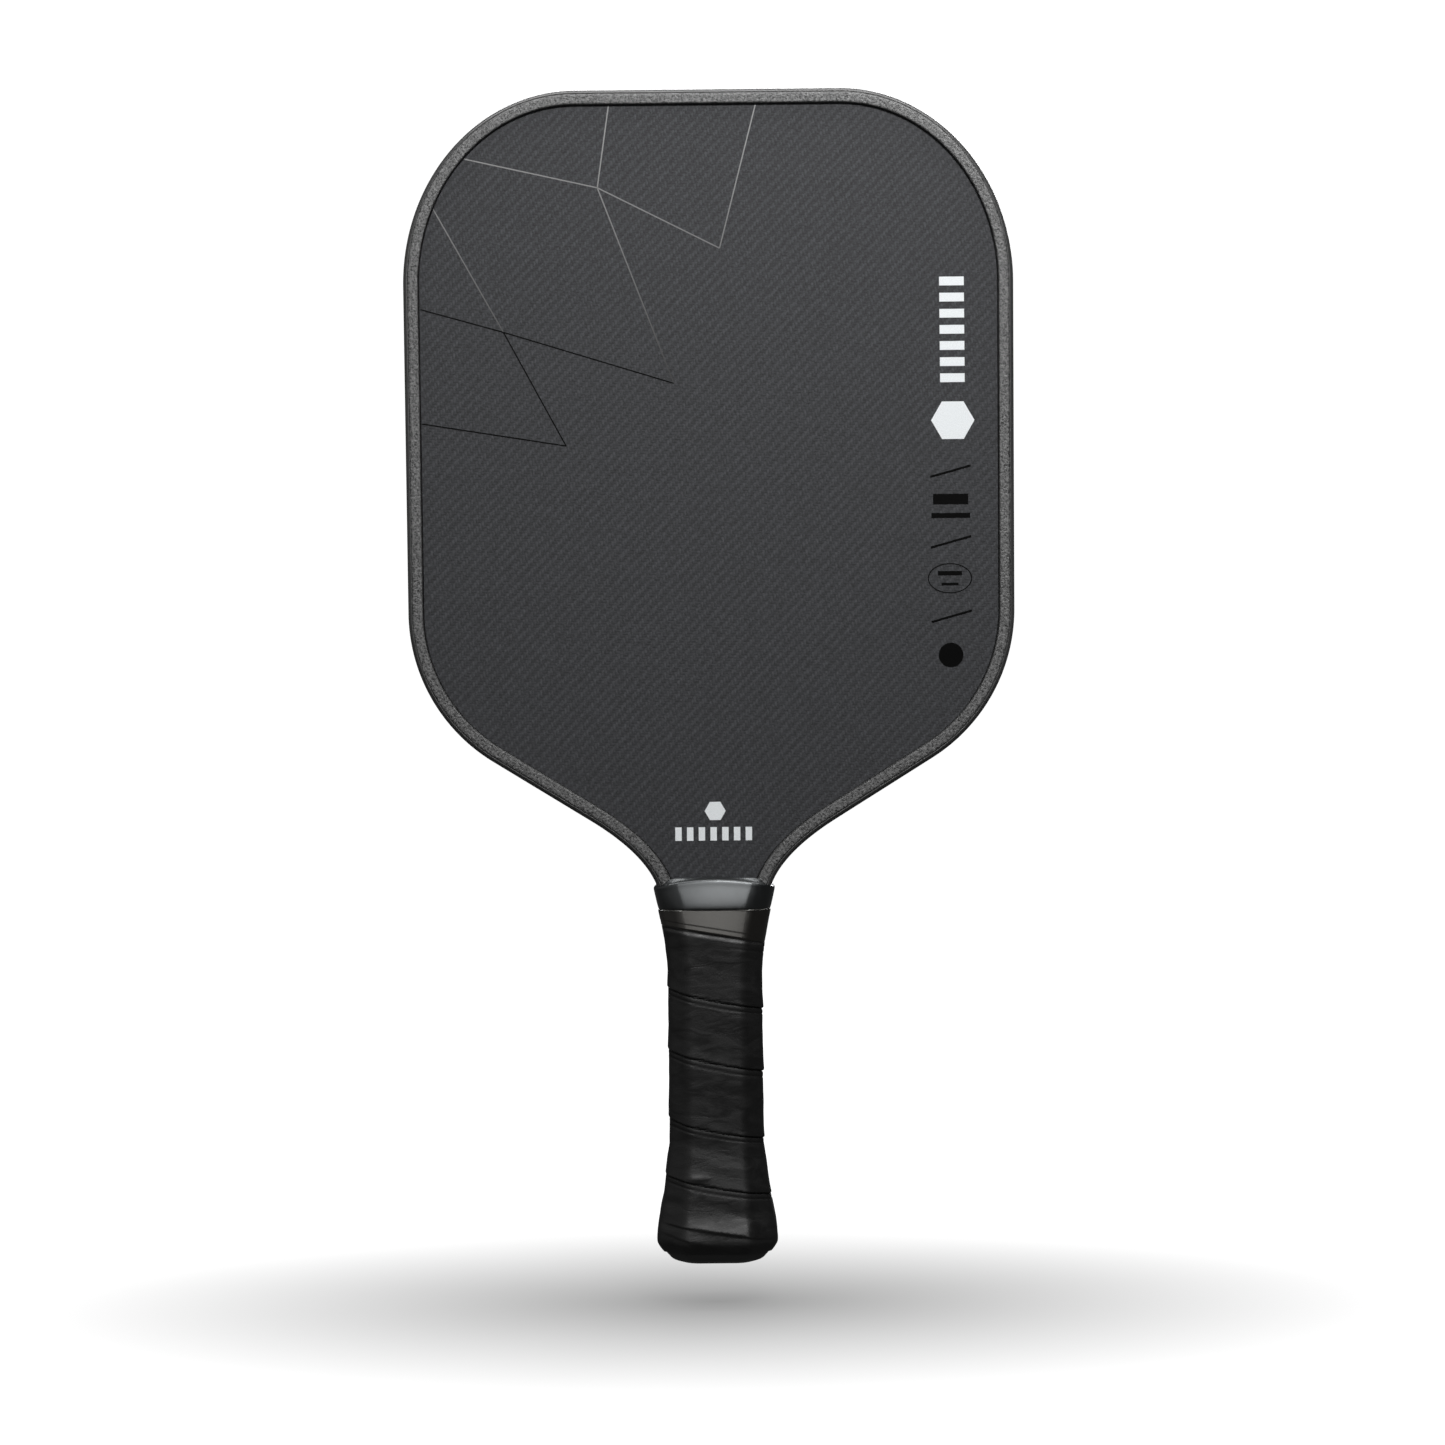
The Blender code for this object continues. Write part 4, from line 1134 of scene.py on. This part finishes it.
width, height = SEPARATOR_HALF
low, high = ([(MARGIN_X + sign * width, z + sign * height) for z in SEPARATOR_Z] for sign in (-1, 1))
slants = strokes(low, high, SEPARATOR_WIDTH)
labels = strokes(LABEL_STARTS, LABEL_ENDS, LABEL_WIDTHS)
marks = [slants, labels, ring(*MARGIN_OVAL), filled(*MARGIN_DISC)]
ink_piece("margin_marks", marks, black_ink, "face_print_dark")

# %% Thin facet lines
LINE_WIDTH = 0.42
# Corners of a plain net of lines on the face, as x and z in mm, and the pairs of corners that the lines join.
NET = {
    "a": (-33.0, 398.0),
    "b": (-37.5, 367.0),
    "c": (-84.0, 377.5),
    "d": (4.0, 346.0),
    "e": (17.5, 398.0),
    "f": (-12.0, 300.0),
    "g": (-70.0, 318.0),
    "h": (-98.2, 326.0),
    "i": (-94.0, 361.0),
    "j": (-49.0, 279.0),
    "k": (-98.2, 287.0),
}
UPPER_LINES = ("ab", "cb", "bd", "de", "bf", "ig")
LOWER_LINES = ("gf", "hg", "gj", "jk")

faded_ink = screen_ink("faded_screen_ink", "#8E8E8E", 0.6, fade_to="#2E2E2E", fade=(0.305, 0.385))
for name, lines, ink, slot in (
    ("upper_facet_lines", UPPER_LINES, faded_ink, "face_print_light"),
    ("lower_facet_lines", LOWER_LINES, black_ink, "face_print_dark"),
):
    net = strokes([NET[line[0]] for line in lines], [NET[line[1]] for line in lines], LINE_WIDTH)
    ink_piece(name, [net], ink, slot)

# %% [markdown]
# ## Inside the sandwich
#
# The core, the foam, the veils, the handle's fillers and the staples are closed in, so the CAD meshes stay. They
# still get real finishes, for anyone who takes the paddle apart.


# %% Inner materials
def plain_finish(name, colour, other, grain, roughness, metallic=0.0):
    """A mottled plastic, foam, veil or metal: two close colours mixed by noise of a real grain size, with a bump."""
    material, tree = new_finish(name)
    place = node(tree, "TexCoord")["Object"]
    mottle = node(tree, "TexNoise", {"Vector": place, "Scale": 1 / grain, "Detail": 4.0, "Roughness": 0.6})[0]
    tint = node(tree, "Mix", {"Factor": mottle, "A": linear(colour), "B": linear(other)}, data_type="RGBA")[2]
    bump = node(tree, "Bump", {"Height": mottle, "Distance": grain / 10, "Strength": 0.5})[0]
    values = {"Base Color": tint, "Roughness": roughness, "Metallic": metallic, "Normal": bump}
    shader = node(tree, "BsdfPrincipled", values)[0]
    node(tree, "OutputMaterial", {"Surface": shader})
    return material


dress(plain_finish("extruded_polypropylene", "#E2E2DC", "#D2D2CA", 4 * MM, 0.45), "honeycomb_core")
dress(plain_finish("closed_cell_foam", "#DCD2A8", "#C6BA8C", 0.6 * MM, 0.9), "perimeter_foam")
dress(plain_finish("polyester_veil", "#EDEDED", "#D8D8D8", 0.4 * MM, 0.9), "front_scrim", "rear_scrim")
dress(plain_finish("foamed_plastic", "#CFCFCB", "#BEBEB8", 1 * MM, 0.6), "front_handle_pallet", "rear_handle_pallet")
wire = plain_finish("galvanised_wire", "#C8CACC", "#A8ABAE", 0.8 * MM, 0.35, metallic=1.0)
dress(wire, "front_cap_staple", "rear_cap_staple")
print("finishes", [material.name for material in bpy.data.materials])
